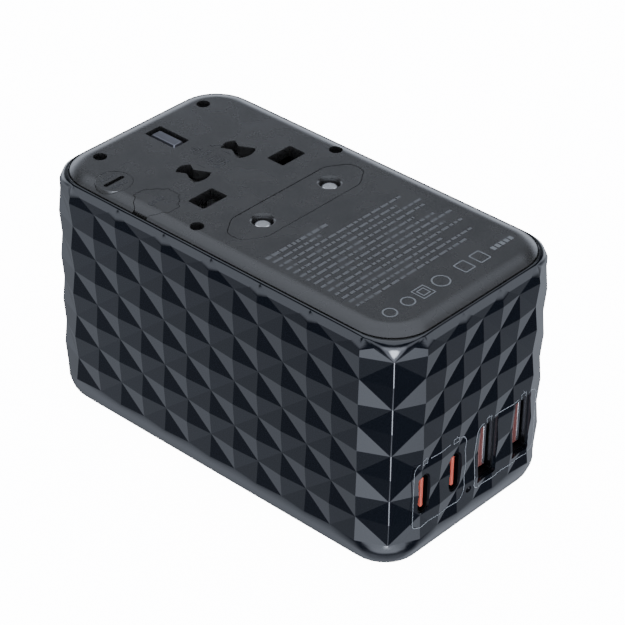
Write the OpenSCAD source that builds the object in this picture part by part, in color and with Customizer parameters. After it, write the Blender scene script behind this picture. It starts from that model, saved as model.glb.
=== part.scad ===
// Universal travel adapter with sliding UK, US/AU and EU plugs and a USB charger.
// Origin: centre of the socket face, which rests on the table. +Z: plug face. +X: USB end.
// +Y: the long side that carries the three plug sliders.

/* [Body] */
// Length between the valleys of the faceted walls
body_l = 92.4; // [92:0.1:94]
// Width between the valleys of the faceted walls
body_w = 49.1; // [49:0.1:50]
// Height from socket face to plug face
body_h = 54; // [54:0.5:55]
// Radius of the upright corners
corner_r = 8.6; // [8:0.1:9]
// Height that each facet pyramid stands out of the wall
facet_rise = 0.45; // [0.3:0.05:0.6]
// Height of one row of facets
facet_h = 10.54; // [10.4:0.02:10.6]
// Thickness of the walls at the valleys
wall = 1.6; // [1.4:0.1:1.7]

/* [Plugs] */
// X of the UK line and neutral pins, and of the socket slots below them
uk_x = -13.5; // [-13.7:0.1:-13.3]
// X of the axis that each US/AU blade turns about
us_x = -22.95; // [-23.1:0.05:-22.8]
// Turn of a US/AU blade either way from parallel, in degrees
us_twist = 28; // [26:1:30]
// X of the EU pins and their block
eu_x = -0.5; // [-0.7:0.1:-0.3]
// Travel of the UK plug
uk_travel = 23.5; // [20:0.5:23.5]
// Travel of the US/AU plug
us_travel = 19; // [16:0.5:19]
// Travel of the EU block
eu_block_travel = 15; // [10:0.5:15]
// Travel of the EU pins out of their block
eu_pin_travel = 19.8; // [18:0.1:19.8]
// Free play round a sliding or turning pin
play = 0.07; // [0.05:0.01:0.09]

/* [Sliders] */
// Width of a slider knob
knob_w = 8; // [7:0.5:9]
// Height of a slider knob
knob_h = 9; // [8:0.5:9]
// Travel of a lock button
lock_travel = 1; // [0.8:0.1:1.1]

/* [Fuses] */
// Radius of a fuse
fuse_r = 2.6; // [2.5:0.05:2.6]
// Length of a fuse
fuse_l = 20; // [18:0.5:20]

/* [USB] */
// Height of the ports' centres above the socket face
port_z = 16.5; // [16:0.1:17.5]

/* [Hidden] */
$fn = 48;
eps = 0.01;
half_l = body_l / 2;
half_w = body_w / 2;
straight_x = half_l - corner_r;
straight_y = half_w - corner_r;
long_step = 2 * straight_x / 12;
short_step = 2 * straight_y / 6;
facet_top_z = body_h - 0.1;
facet_end_z = facet_top_z - 4.5 * facet_h;
rim_z = body_h - 1.6;
rim_inset = 0.85;
band_z = facet_top_z - 0.28 * facet_h;
foot_a = 3.5;
foot_z = 1.45;
cavity_l = half_l - wall;
cavity_w = half_w - wall;
cover_in = 1.35;
cover_gap = 0.25;
cover_r = 9.05;
cover_edge_r = 5;
cover_run = 3.35;
foot_cover_in = 1.75;
cover_z = body_h - 2.4;
ledge_z = cover_z - 0.1;
deck_z = 22.2;
deck_t = 2;
uk_y = 11.11;
uk_earth_x = uk_x - 22.2;
us_y = 6.35;
eu_y = 9.5;
eu_pin_r = 2;
blade_shift = 0.68;
bow_r = 4.1;
bow_back_r = 2.8;
bow_waist = 0.97;
fuse_pos = [-20, -18.5];
spare_pos = [-31.1, -19.1];
screw_pos = [[-39.8, -14.5], [-39.8, 14.5], [-8, -19.6], [-8, 19.6]];
uk_knob = [-34, 20.5];
us_knob = [-19.4, 25];
eu_knob = [eu_x, 10.1];
c_ports = [-15.1, -6.1];
a_ports = [3.6, 14.1];
led_pos = [-1.7, 9.9];
usb_board_x = 32;
port_mouth_x = half_l - 0.9;

// ---- outlines -------------------------------------------------------------------------

// Corner points of a rounded rectangle of half sizes hx and hy, corners of n chords
function rounded(hx, hy, r, n = 6) = [
    for (q = [0:3])
        for (i = [0:n])
            let (a = 90 * q + 90 * i / n,
                 sx = (q == 0 || q == 3) ? 1 : -1,
                 sy = q < 2 ? 1 : -1)
            [sx * (hx - r) + r * cos(a), sy * (hy - r) + r * sin(a)]];

module slab(hx, hy, r, z0, z1) {
    translate([0, 0, z0])
        linear_extrude(z1 - z0)
            polygon(rounded(hx, hy, r));
}

module block(x0, x1, y0, y1, z0, z1) {
    translate([x0, y0, z0])
        cube([x1 - x0, y1 - y0, z1 - z0]);
}

module rod(x, y, r, z0, z1) {
    translate([x, y, z0])
        cylinder(r = r, h = z1 - z0);
}

// Closed solid through rings of equal point counts, lowest ring first
module loft(rings) {
    n = len(rings[0]);
    last = len(rings) - 1;
    polyhedron(
        points = [for (ring = rings) for (p = ring) p],
        faces = concat(
            [[for (i = [0:n - 1]) i]],
            [for (k = [0:last - 1]) for (i = [0:n - 1])
                [k * n + i, (k + 1) * n + i, (k + 1) * n + (i + 1) % n, k * n + (i + 1) % n]],
            [[for (i = [n - 1:-1:0]) last * n + i]]));
}

// Plate with a shaped outer edge; profile lists inset and height, lowest first
module edged_plate(hx, hy, r, profile) {
    loft([for (e = profile)
        [for (p = rounded(hx - e[0], hy - e[0], r - e[0] * 0.6)) [p[0], p[1], e[1]]]]);
}

// Inset of the rounded foot at a height
function foot_inset(z) = foot_a * (1 - sqrt(1 - pow((facet_end_z - z) / facet_end_z, 2)));

module plug_plate() {
    lean = asin(cover_run / cover_edge_r);
    arc = [for (s = [0:5])
        let (a = lean * (1 - s / 5))
        [cover_run - cover_edge_r * sin(a), body_h - cover_edge_r * (1 - cos(a))]];
    edged_plate(half_l - cover_in, half_w - cover_in, cover_r, concat([[0, cover_z]], arc));
}

module socket_plate() {
    curve = [for (z = [0, 0.06, 0.22, 0.48, 0.87]) [foot_inset(z) - foot_cover_in, z]];
    edged_plate(half_l - foot_cover_in, half_w - foot_cover_in, 8.6,
        concat(curve, [[curve[4][0], 3.1]]));
}

// ---- faceted wall ---------------------------------------------------------------------

// The wall has 44 columns of nodes: 13 on each long side, 7 on each end and one on each
// corner. Even columns have nodes at whole rows, odd ones at half rows.
columns = 44;
corner_reach = straight_x + corner_r * sqrt(0.5);
corner_side = straight_y + corner_r * sqrt(0.5);
function column_base(c) =
    c < 13 ? [-straight_x + c * long_step, -half_w] :
    c == 13 ? [corner_reach, -corner_side] :
    c < 21 ? [half_l, -straight_y + (c - 14) * short_step] :
    c == 21 ? [corner_reach, corner_side] :
    c < 35 ? [straight_x - (c - 22) * long_step, half_w] :
    c == 35 ? [-corner_reach, corner_side] :
    c < 43 ? [-half_l, straight_y - (c - 36) * short_step] :
    [-corner_reach, -corner_side];

function unit(v) = v / norm(v);

// Outward direction at a column
function column_normal(c) =
    c < 13 ? [0, -1] : c == 13 ? unit([1, -1]) : c < 21 ? [1, 0] : c == 21 ? unit([1, 1]) :
    c < 35 ? [0, 1] : c == 35 ? unit([-1, 1]) : c < 43 ? [-1, 0] : unit([-1, -1]);

function is_corner(c) = c == 13 || c == 21 || c == 35 || c == 43;
function wrap(c) = (c + columns) % columns;
function beside_corner(c) = is_corner(wrap(c + 1)) || is_corner(wrap(c - 1));

// How far the pyramid centre of a column stands out, and where
function pyramid(c) =
    is_corner(c) ? column_base(c) :
    beside_corner(c) ? column_base(c) + facet_rise * (column_normal(c) + 0.6 * along(c)) :
    column_base(c) + facet_rise * column_normal(c);

// Direction along the wall from a column towards the corner beside it
function along(c) =
    let (b = column_base(c), n = column_normal(c))
    [sign(b[0]) * (1 - abs(n[0])), sign(b[1]) * (1 - abs(n[1]))];

function lift(p, z) = [p[0], p[1], z];
function row_z(m) = facet_top_z - m * facet_h;

// Point of column c at half row j: a node where column and row agree, else a pyramid
function wall_point(c, j) =
    (c + j) % 2 == 0 ? lift(column_base(c), row_z(j / 2)) : lift(pyramid(c), row_z(j / 2));

function rim_point(c) = lift(column_base(c) - rim_inset * column_normal(c), rim_z);
function foot_point(c, inset, z) = lift(column_base(c) - inset * column_normal(c), z);

// Points: rim, band corners, half rows 1 to 9, then the rounded foot
foot_levels = [4.2, 2.6, foot_z];
half_rows = 9;
function rim_index(c) = wrap(c);
function band_index(c) = columns + wrap(c);
function row_index(c, j) = columns * (1 + j) + wrap(c);
function foot_index(c, k) = columns * (2 + half_rows + k) + wrap(c);

module shell_body() {
    rim = [for (c = [0:columns - 1]) rim_point(c)];
    band = [for (c = [0:columns - 1]) lift(column_base(c), band_z)];
    rows = [for (j = [1:half_rows]) for (c = [0:columns - 1]) wall_point(c, j)];
    foot = [for (z = foot_levels) for (c = [0:columns - 1]) foot_point(c, foot_inset(z), z)];
    top_quads = [for (c = [0:columns - 1])
        each [[rim_index(c), rim_index(c + 1), band_index(c)],
              [rim_index(c + 1), band_index(c + 1), band_index(c)],
              [band_index(c), band_index(c + 1), row_index(c, 1)],
              [band_index(c + 1), row_index(c + 1, 1), row_index(c, 1)]]];
    // Each cell between two columns and two half rows is split from node to node
    cells = [for (j = [1:half_rows - 1]) for (c = [0:columns - 1])
        let (a = row_index(c, j), b = row_index(c + 1, j),
             d = row_index(c, j + 1), e = row_index(c + 1, j + 1))
        each ((c + j) % 2 == 0 ? [[a, b, e], [a, e, d]] : [[a, b, d], [b, e, d]])];
    skirt = [for (c = [0:columns - 1])
        each [[row_index(c, half_rows), row_index(c + 1, half_rows), foot_index(c, 0)],
              [row_index(c + 1, half_rows), foot_index(c + 1, 0), foot_index(c, 0)]]];
    foot_faces = [for (k = [0:len(foot_levels) - 2]) for (c = [0:columns - 1])
        each [[foot_index(c, k), foot_index(c + 1, k), foot_index(c, k + 1)],
              [foot_index(c + 1, k), foot_index(c + 1, k + 1), foot_index(c, k + 1)]]];
    top = [[for (c = [columns - 1:-1:0]) rim_index(c)]];
    bottom = [[for (c = [0:columns - 1]) foot_index(c, len(foot_levels) - 1)]];
    polyhedron(points = concat(rim, band, rows, foot),
        faces = concat(top_quads, cells, skirt, foot_faces, top, bottom));
}

// ---- casing ---------------------------------------------------------------------------

module port_pair_slots(grow) {
    for (y = c_ports) {
        hull() {
            for (s = [-1, 1])
                translate([half_l - 4, y, port_z + s * 2.87])
                    rotate([0, 90, 0])
                        cylinder(r = 1.63 + grow, h = 8);
        }
    }
    for (y = a_ports)
        block(half_l - 4, half_l + 4, y - 2.86 - grow, y + 2.86 + grow,
            port_z - 6.6 - grow, port_z + 6.6 + grow);
}

// Slot for a slider neck and the shallow track that its knob runs in
module slider_slot(at, travel) {
    block(at[0] - 2.3, at[0] + 2.3, half_w - 3, half_w + 3, at[1] - 3.3, at[1] + travel + 3.3);
    block(at[0] - knob_w / 2 - 0.4, at[0] + knob_w / 2 + 0.4, half_w - 0.9, half_w + 3,
        at[1] - knob_h / 2 - 0.4, at[1] + travel + knob_h / 2 + 0.4);
}

module outer_shell() {
    color([0.17, 0.18, 0.21])
        difference() {
            shell_body();
            slab(cavity_l, cavity_w, corner_r - wall, 3.2, ledge_z);
            slab(half_l - cover_in + cover_gap, half_w - cover_in + cover_gap,
                cover_r + cover_gap, ledge_z - eps, body_h);
            slab(half_l - 1.55, half_w - 1.55, 8.8, -1, 3.2 + eps);
            port_pair_slots(0);
            translate([half_l - 4, led_pos[0], led_pos[1]])
                rotate([0, 90, 0])
                    cylinder(r = 0.75, h = 8);
            slider_slot(uk_knob, uk_travel);
            slider_slot(us_knob, us_travel);
            slider_slot(eu_knob, eu_block_travel + eu_pin_travel);
        }
}

// Opening that a blade needs over its whole turn: a short fan and a long one
module bow_tie(h) {
    edge_d = bow_waist * cos(us_twist);
    front = us_twist + asin(edge_d / bow_r);
    back = us_twist + asin(edge_d / bow_back_r);
    steps = 8;
    linear_extrude(h)
        polygon(concat([[0, -bow_waist]],
            [for (i = [0:steps]) bow_r * [cos(front * (2 * i / steps - 1)),
                                          sin(front * (2 * i / steps - 1))]],
            [[0, bow_waist]],
            [for (i = [0:steps]) bow_back_r * [-cos(back * (1 - 2 * i / steps)),
                                               sin(back * (1 - 2 * i / steps))]]));
}

// Long hexagon of the EU block, grown by g
module hexagon_outline(g) {
    polygon([for (p = [[4.6, 13.2], [1.7, 17.5], [-1.7, 17.5], [-4.6, 13.2],
                       [-4.6, -13.2], [-1.7, -17.5], [1.7, -17.5], [4.6, -13.2]])
        [p[0] + sign(p[0]) * g, p[1] + sign(p[1]) * g * (abs(p[1]) > 15 ? 1 : 0.45)]]);
}

// Outline of the fuse cover: a cross over an octagon
module fuse_outline(g) {
    circle(r = 4.3 + g, $fn = 8);
    square([9.3 + 2 * g, 3.5 + 2 * g], center = true);
    translate([-1.75 - g, -3.7])
        square([3.5 + 2 * g, 8.35 + g]);
}

module plug_cover() {
    color([0.31, 0.31, 0.33])
        difference() {
            plug_plate();
            for (s = [-1, 1])
                block(uk_x - 2.15, uk_x + 2.15, s * uk_y - 3.3, s * uk_y + 3.3, 50, 56);
            block(uk_earth_x - 4.15, uk_earth_x + 4.15, -2.15, 2.15, 50, 56);
            for (s = [-1, 1])
                translate([us_x, s * us_y, 50])
                    bow_tie(6);
            translate([eu_x, 0, 50])
                linear_extrude(6)
                    hexagon_outline(0.15);
            translate([fuse_pos[0], fuse_pos[1], 52])
                linear_extrude(4)
                    fuse_outline(0.12);
            rod(fuse_pos[0], fuse_pos[1], 3.5, 50, 56);
            block(fuse_pos[0] - 1.8, fuse_pos[0] + 1.8, -half_w - 1, fuse_pos[1] - 3.5, 52.2, 56);
            rod(spare_pos[0], spare_pos[1], 3.7 + play, 50, 56);
            for (p = screw_pos) {
                rod(p[0], p[1], 0.95, 50, 56);
                rod(p[0], p[1], 1.4, 52.5, 56);
            }
        }
}

// One side of the universal socket: UK slot, EU hole and US slot joined together
module socket_side() {
    square([4.5, 6.9], center = true);
    translate([0, eu_y - uk_y])
        circle(r = 2.6);
    translate([-3.5, us_y - uk_y - 0.95])
        square([7, 1.9]);
}

module socket_cover() {
    color([0.20, 0.20, 0.22])
        difference() {
            union() {
                socket_plate();
                for (s = [-1, 1])
                    block(-27, -12.5, s * 18.9 - 0.35, s * 18.9 + 0.35, 3, 6.2);
                block(-32.8, -31.8, 15.2, 18.6, 3, 6.6);
            }
            for (s = [0, 1])
                mirror([0, s, 0])
                    translate([uk_x, uk_y, -1])
                        linear_extrude(6)
                            socket_side();
            block(uk_earth_x - 4.3, uk_earth_x + 4.3, -2.3, 2.3, -1, 5);
            rod(uk_x - 11.9, 0, 2.55, -1, 5);
        }
}

module cover_screws() {
    color([0.12, 0.12, 0.13])
        for (p = screw_pos)
            difference() {
                union() {
                    rod(p[0], p[1], 0.8, 42, 52.7);
                    rod(p[0], p[1], 1.25, 52.6, 53.5);
                }
                for (a = [0, 90])
                    translate([p[0], p[1], 53.5])
                        rotate(a)
                            cube([1.7, 0.4, 1], center = true);
            }
}

// ---- inner frame ----------------------------------------------------------------------

module inner_frame() {
    color([0.82, 0.82, 0.80])
        difference() {
            union() {
                slab(cavity_l - 0.2, cavity_w - 0.2, corner_r - wall, deck_z - deck_t, deck_z);
                block(-8.4, -7.1, -22.2, 22.2, 3.3, 49.5);
                block(6.6, 8, -22.2, 22.2, 3.3, 49.5);
                for (x = [-41, -11.2])
                    for (s = [-1, 1])
                        block(x, x + 1.6, s * 20.8 - 1.1, s * 20.8 + 1.1, 3.3, deck_z - 1);
                rod(uk_x, 0, 1.25, deck_z - 1, 51.2);
                rod(-33.6, 8.5, 1.25, deck_z - 1, 51.2);
                rod(us_x, 0, 1.25, deck_z - 1, 51.2);
                for (p = screw_pos)
                    rod(p[0], p[1], 2.2, deck_z - 1, ledge_z - 0.1);
                rod(fuse_pos[0], fuse_pos[1], 4, deck_z - 1, 51.3);
                rod(spare_pos[0], spare_pos[1], 3.5, deck_z - 1, 50.8);
            }
            block(-7.1, 6.6, -14.5, 14.5, 15, 30);
            block(eu_x - 2.7, eu_x + 2.7, 14, 24, 15, 60);
            block(8, 50, -24, 24, 0, 60);
            block(uk_knob[0] - 2.5, uk_knob[0] + 2.5, 20.9, 24, 15, 30);
            block(us_knob[0] - 2.5, us_knob[0] + 2.5, 19.2, 24, 15, 30);
            for (s = [-1, 1])
                block(-9.75, -8.5, s * 11 - 3.3, s * 11 + 3.3, 19, 24);
            rod(fuse_pos[0], fuse_pos[1], 3.15 + play, 26, 60);
            rod(spare_pos[0], spare_pos[1], 2.9, 28, 60);
            for (p = screw_pos)
                rod(p[0], p[1], 0.82, 41, 60);
        }
}

// ---- UK plug --------------------------------------------------------------------------

module uk_carriage() {
    color([0.16, 0.16, 0.17])
        difference() {
            union() {
                block(uk_x - 2.7, uk_x + 2.6, -14.6, 14.6, 22.6, 27.9);
                block(-36, uk_x, -14.2, -11.1, 22.6, 27.9);
                block(-36, -31.8, -14.6, 14.6, 22.6, 27.9);
                block(uk_earth_x - 4.6, uk_earth_x + 4.5, -3.2, 3.2, 22.6, 27.9);
                block(-35.8, -32.2, 14, 21.6, 22.6, 27.9);
            }
            rod(uk_x, 0, 1.25 + play, 20, 30);
            rod(-33.6, 8.5, 1.25 + play, 20, 30);
            for (s = [-1, 1])
                block(uk_x - 1.7, uk_x + 1.7, s * uk_y - 2.88, s * uk_y + 2.88, 24, 30);
            block(uk_earth_x - 4, uk_earth_x + 4, -2, 2, 24, 30);
        }
}

// Flat pin with a tapered tip
module flat_pin(x, y, dx, dy, z0, z1) {
    taper = 1.2;
    block(x - dx / 2, x + dx / 2, y - dy / 2, y + dy / 2, z0, z1 - taper);
    loft([for (t = [0, 1])
        [for (p = [[1, 1], [-1, 1], [-1, -1], [1, -1]])
            [x + p[0] * (dx / 2 - 0.9 * t), y + p[1] * (dy / 2 - 0.9 * t),
             z1 - taper * (1 - t) - (1 - t) * eps]]]);
}

module uk_line_neutral_pins() {
    color([0.80, 0.66, 0.38])
        for (s = [-1, 1]) {
            block(uk_x - 1.7, uk_x + 1.7, s * uk_y - 2.88, s * uk_y + 2.88, 24, 40);
            flat_pin(uk_x, s * uk_y, 4, 6.35, 39.5, 48.2);
        }
}

module uk_pin_sleeves() {
    color([0.10, 0.10, 0.11])
        for (s = [-1, 1])
            difference() {
                block(uk_x - 2, uk_x + 2, s * uk_y - 3.175, s * uk_y + 3.175, 27.9, 39.5);
                block(uk_x - 1.7, uk_x + 1.7, s * uk_y - 2.88, s * uk_y + 2.88, 27, 41);
            }
}

module uk_earth_pin() {
    color([0.62, 0.62, 0.62])
        flat_pin(uk_earth_x, 0, 8, 4, 24, body_h - 0.2);
}

// ---- slider knobs ---------------------------------------------------------------------

knob_out_y = half_w + 0.3;
knob_in_y = half_w - 0.75;

// Knob with its neck and the well that its lock button sits in
module slider_knob(at, neck_y, neck_top) {
    difference() {
        union() {
            block(at[0] - knob_w / 2, at[0] + knob_w / 2, knob_in_y, knob_out_y,
                at[1] - knob_h / 2, at[1] + knob_h / 2);
            block(at[0] - 2, at[0] + 2, neck_y, knob_in_y + eps, at[1] - 3, at[1] + 3);
            block(at[0] - 2, at[0] + 2, neck_y, 22.3, at[1] - 3, neck_top);
        }
        translate([at[0], 22, at[1]])
            rotate([-90, 0, 0])
                cylinder(r = 1.6, h = 6);
    }
}

module lock_button(at) {
    translate([at[0], 24, at[1]])
        rotate([-90, 0, 0])
            cylinder(r = 1.6 - play, h = half_w + 0.4 - 24);
}

// Coil of round wire along Y under a lock button
module lock_spring(at) {
    coil(3, 0.12, 1.1, 1.7, [at[0], 22.14, at[1]], [-90, 0, 0]);
}

module coil(turns, wire, r, length, at, turned) {
    sides = 6;
    per_turn = 12;
    n = turns * per_turn;
    points = [for (i = [0:n])
        let (a = 360 * i / per_turn)
        for (k = [0:sides - 1])
            let (b = -360 * k / sides, rr = r + wire * cos(b))
            [rr * cos(a), rr * sin(a), length * i / n + wire * sin(b)]];
    skin = [for (i = [0:n - 1])
        for (k = [0:sides - 1])
            let (a = i * sides + k, b = i * sides + (k + 1) % sides)
            each [[a, a + sides, b + sides], [a, b + sides, b]]];
    translate(at)
        rotate(turned)
            polyhedron(points = points, faces = concat([[for (k = [0:sides - 1]) k]], skin,
                [[for (k = [sides - 1:-1:0]) n * sides + k]]));
}

module uk_slider_knob() {
    color([0.22, 0.22, 0.24])
        slider_knob(uk_knob, 21.6, 27.9);
}

module uk_lock_button() {
    color([0.75, 0.30, 0.12])
        lock_button(uk_knob);
}

module uk_lock_spring() {
    color([0.75, 0.75, 0.76])
        lock_spring(uk_knob);
}

// ---- US/AU plug -----------------------------------------------------------------------

module us_carriage() {
    color([0.16, 0.16, 0.17])
        difference() {
            union() {
                block(us_x - 5.2, us_x + 5.2, -10.8, 10.8, 26.4, 32.3);
                block(us_knob[0] - 2, us_knob[0] + 2, 10, 19.6, 26.4, 32.3);
            }
            rod(us_x, 0, 1.25 + play, 20, 40);
            for (s = [-1, 1]) {
                rod(us_x, s * us_y, 4.1 + play, 29, 40);
                rod(us_x, s * us_y, 2.4 + play, 20, 40);
            }
        }
}

module rotor(s) {
    difference() {
        union() {
            rod(us_x, s * us_y, 4.1, 29.05, 32.3);
            rod(us_x, s * us_y, 2.4, 25.8, 29.1);
            rod(us_x, s * us_y, 3, 25.2, 26.1);
        }
        block(us_x + blade_shift - 3.175, us_x + blade_shift + 3.175,
            s * us_y - 0.75, s * us_y + 0.75, 29.6, 40);
    }
}

module blade(s) {
    translate([us_x + blade_shift, s * us_y + 0.75, 0])
        rotate([90, 0, 0])
            linear_extrude(1.5)
                polygon([[-3.175, 29.6], [3.175, 29.6], [3.175, 50.4], [1.9, 52],
                    [-1.9, 52], [-3.175, 50.4]]);
}

module us_left_rotor() {
    color([0.24, 0.24, 0.26])
        rotor(-1);
}

module us_left_blade() {
    color([0.80, 0.66, 0.38])
        blade(-1);
}

module us_right_rotor() {
    color([0.24, 0.24, 0.26])
        rotor(1);
}

module us_right_blade() {
    color([0.80, 0.66, 0.38])
        blade(1);
}

module us_slider_knob() {
    color([0.22, 0.22, 0.24])
        slider_knob(us_knob, 19.6, 32.3);
}

module us_lock_button() {
    color([0.75, 0.30, 0.12])
        lock_button(us_knob);
}

module us_lock_spring() {
    color([0.75, 0.75, 0.76])
        lock_spring(us_knob);
}

// ---- EU plug --------------------------------------------------------------------------

module eu_block() {
    color([0.31, 0.31, 0.33])
        difference() {
            union() {
                translate([eu_x, 0, 34])
                    linear_extrude(body_h - 34)
                        hexagon_outline(0);
                translate([eu_x, 0, 33.2])
                    linear_extrude(2.3)
                        hexagon_outline(0.8);
            }
            for (s = [-1, 1]) {
                rod(eu_x, s * eu_y, eu_pin_r + play, 30, 56);
                translate([eu_x, s * eu_y, body_h - 0.4])
                    cylinder(r1 = eu_pin_r + play, r2 = eu_pin_r + 0.5, h = 0.4 + eps);
            }
        }
}

module eu_carriage() {
    color([0.16, 0.16, 0.17])
        difference() {
            union() {
                block(eu_x - 4.6, eu_x + 4.6, -13, 13, 7.1, 13);
                block(eu_x - 2, eu_x + 2, 12, 21.6, 7.1, 13);
            }
            for (s = [-1, 1])
                rod(eu_x, s * eu_y, 1.7, 9, 14);
        }
}

module eu_pins() {
    color([0.86, 0.86, 0.87])
        for (s = [-1, 1]) {
            rod(eu_x, s * eu_y, 1.7, 9, 45);
            rod(eu_x, s * eu_y, eu_pin_r, 44.2, 52.2);
            translate([eu_x, s * eu_y, 52.2])
                cylinder(r1 = eu_pin_r, r2 = 1.1, h = 1);
        }
}

module eu_pin_sleeves() {
    color([0.10, 0.10, 0.11])
        for (s = [-1, 1])
            difference() {
                rod(eu_x, s * eu_y, eu_pin_r, 13, 44.2);
                rod(eu_x, s * eu_y, 1.7, 12, 46);
            }
}

module eu_slider_knob() {
    color([0.22, 0.22, 0.24])
        slider_knob(eu_knob, 21.6, 13);
}

module eu_lock_button() {
    color([0.75, 0.30, 0.12])
        lock_button(eu_knob);
}

module eu_lock_spring() {
    color([0.75, 0.75, 0.76])
        lock_spring(eu_knob);
}

// ---- fuses ----------------------------------------------------------------------------

// Ceramic fuse with a metal cap at each end
module fuse(at, z0) {
    rod(at[0], at[1], fuse_r, z0, z0 + 5);
    rod(at[0], at[1], fuse_r - 0.2, z0 + 5 - eps, z0 + fuse_l - 5 + eps);
    rod(at[0], at[1], fuse_r, z0 + fuse_l - 5, z0 + fuse_l);
}

module fuse_cover() {
    color([0.31, 0.31, 0.33])
        difference() {
            union() {
                intersection() {
                    plug_plate();
                    translate([fuse_pos[0], fuse_pos[1], 52.05])
                        linear_extrude(body_h)
                            fuse_outline(0);
                }
                rod(fuse_pos[0], fuse_pos[1], 3.15, 44, 52.1);
            }
            rod(fuse_pos[0], fuse_pos[1], fuse_r, 43, 49);
            block(fuse_pos[0] - 0.5, fuse_pos[0] + 0.5, fuse_pos[1] - 5, fuse_pos[1] + 5, 43, 48);
        }
}

module main_fuse() {
    color([0.90, 0.90, 0.86])
        fuse(fuse_pos, 29);
}

module fuse_contact() {
    color([0.80, 0.66, 0.38]) {
        rod(fuse_pos[0], fuse_pos[1], 3, 26, 26.5);
        for (s = [-1, 1])
            block(fuse_pos[0] + s * 1.4 - 0.3, fuse_pos[0] + s * 1.4 + 0.3,
                fuse_pos[1] - 1, fuse_pos[1] + 1, 26.4, 28.95);
    }
}

module spare_fuse_cap() {
    color([0.31, 0.31, 0.33])
        difference() {
            rod(spare_pos[0], spare_pos[1], 3.7, 51, body_h);
            translate([spare_pos[0], spare_pos[1], body_h])
                cube([0.95, 5, 1.6], center = true);
        }
}

module spare_fuse_clip() {
    color([0.24, 0.24, 0.26])
        difference() {
            rod(spare_pos[0], spare_pos[1], 2.85, 44, 50.95);
            rod(spare_pos[0], spare_pos[1], fuse_r, 43, 50);
            block(spare_pos[0] - 0.5, spare_pos[0] + 0.5,
                spare_pos[1] - 4, spare_pos[1] + 4, 43, 49);
        }
}

module spare_fuse() {
    color([0.90, 0.90, 0.86])
        fuse(spare_pos, 30);
}

// ---- socket side ----------------------------------------------------------------------

module safety_shutter() {
    color([0.85, 0.45, 0.12])
        difference() {
            union() {
                block(-17.9, -9.9, -15.6, 15.6, 3.3, 4.9);
                for (s = [-1, 1])
                    block(-17.9, -14, s * 16.9 - 1.4, s * 16.9 + 1.4, 3.3, 6.4);
            }
            block(-19, -13, -4, 4, 3, 6);
        }
}

module shutter_spring() {
    color([0.75, 0.75, 0.76])
        coil(7, 0.2, 0.95, 13.2, [-31.55, 16.9, 4.85], [0, 90, 0]);
}

// Spring clip for a socket pin, with a riser beside the frame wall; side s along Y
module busbar(s) {
    for (x = [uk_x - 3.4, uk_x + 2.8])
        block(x, x + 0.6, min(s * 5.2, s * 14.6), max(s * 5.2, s * 14.6), 7, 20);
    block(uk_x - 3.4, -8.8, min(s * 5.2, s * 14.6), max(s * 5.2, s * 14.6), 19.4, 20.1);
    block(-9.4, -8.7, min(s * 8.2, s * 13.8), max(s * 8.2, s * 13.8), 19.4, 48);
}

module live_busbar() {
    color([0.80, 0.66, 0.38])
        busbar(1);
}

module neutral_busbar() {
    color([0.80, 0.66, 0.38])
        busbar(-1);
}

module earth_contact() {
    color([0.80, 0.66, 0.38]) {
        for (s = [-1, 1])
            block(-40.2, -22.6, s * 3 - 0.3, s * 3 + 0.3, 6, 20);
        block(-40.2, -22.6, -3.3, 3.3, 19.4, 20.1);
    }
}

// ---- USB charger ----------------------------------------------------------------------

module mains_board() {
    color([0.10, 0.35, 0.22])
        block(8.6, 31.4, -21, 21, 4.2, 5.8);
}

module usb_board() {
    color([0.10, 0.35, 0.22])
        difference() {
            block(usb_board_x - 0.6, usb_board_x + 1, -21.5, 21.5, 4.2, 46);
            translate([usb_board_x - 2, 19, 42])
                rotate([0, 90, 0])
                    cylinder(r = 1.1, h = 5);
        }
}

module transformer_core() {
    color([0.22, 0.21, 0.21])
        difference() {
            block(10.5, 28.5, -9, 9, 8, 26);
            block(14, 25, -10, 10, 11, 23);
        }
}

module transformer_winding() {
    color([0.90, 0.75, 0.25]) {
        block(14.3, 24.7, -11, 11, 11.3, 22.7);
        for (x = [15, 18, 21, 24])
            for (s = [-1, 1])
                rod(x, s * 10.2, 0.4, 5.8, 11.4);
    }
}

module capacitor(x, y, r, h) {
    difference() {
        rod(x, y, r, 5.8, 5.8 + h);
        for (a = [0, 90])
            translate([x, y, 5.8 + h])
                rotate(a)
                    cube([r, 0.3, 0.3], center = true);
    }
}

module bulk_capacitors() {
    color([0.12, 0.13, 0.30])
        for (p = [[14.5, 16], [25.3, 16]])
            capacitor(p[0], p[1], 4.9, 24);
}

module choke() {
    color([0.75, 0.45, 0.20])
        translate([15.5, -16.2, 11.2])
            rotate([90, 0, 0])
                rotate_extrude()
                    translate([3.6, 0])
                        circle(r = 1.7, $fn = 24);
}

module bridge_rectifier() {
    color([0.08, 0.08, 0.09]) {
        block(22.4, 29.4, -17.6, -14.2, 9, 17);
        for (x = [23, 25, 27, 28.8])
            block(x - 0.3, x + 0.3, -16.1, -15.7, 5.8, 9.1);
    }
}

module output_capacitors() {
    color([0.70, 0.70, 0.72])
        for (y = [-12, -4, 4, 12])
            translate([usb_board_x + 1, y, 36])
                rotate([0, 90, 0])
                    cylinder(r = 3.1, h = 8);
}

module stadium_bar(y, half_z, r, x0, x1) {
    translate([x0, y, port_z])
        rotate([0, 90, 0])
            linear_extrude(x1 - x0)
                union() {
                    square([2 * half_z, 2 * r], center = true);
                    for (s = [-1, 1])
                        translate([s * half_z, 0])
                            circle(r = r, $fn = 32);
                }
}

module usb_c_shells() {
    color([0.78, 0.78, 0.80])
        for (y = c_ports)
            difference() {
                stadium_bar(y, 2.87, 1.55, usb_board_x + 1, port_mouth_x);
                stadium_bar(y, 2.87, 1.3, usb_board_x + 2, port_mouth_x + 1);
            }
}

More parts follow.
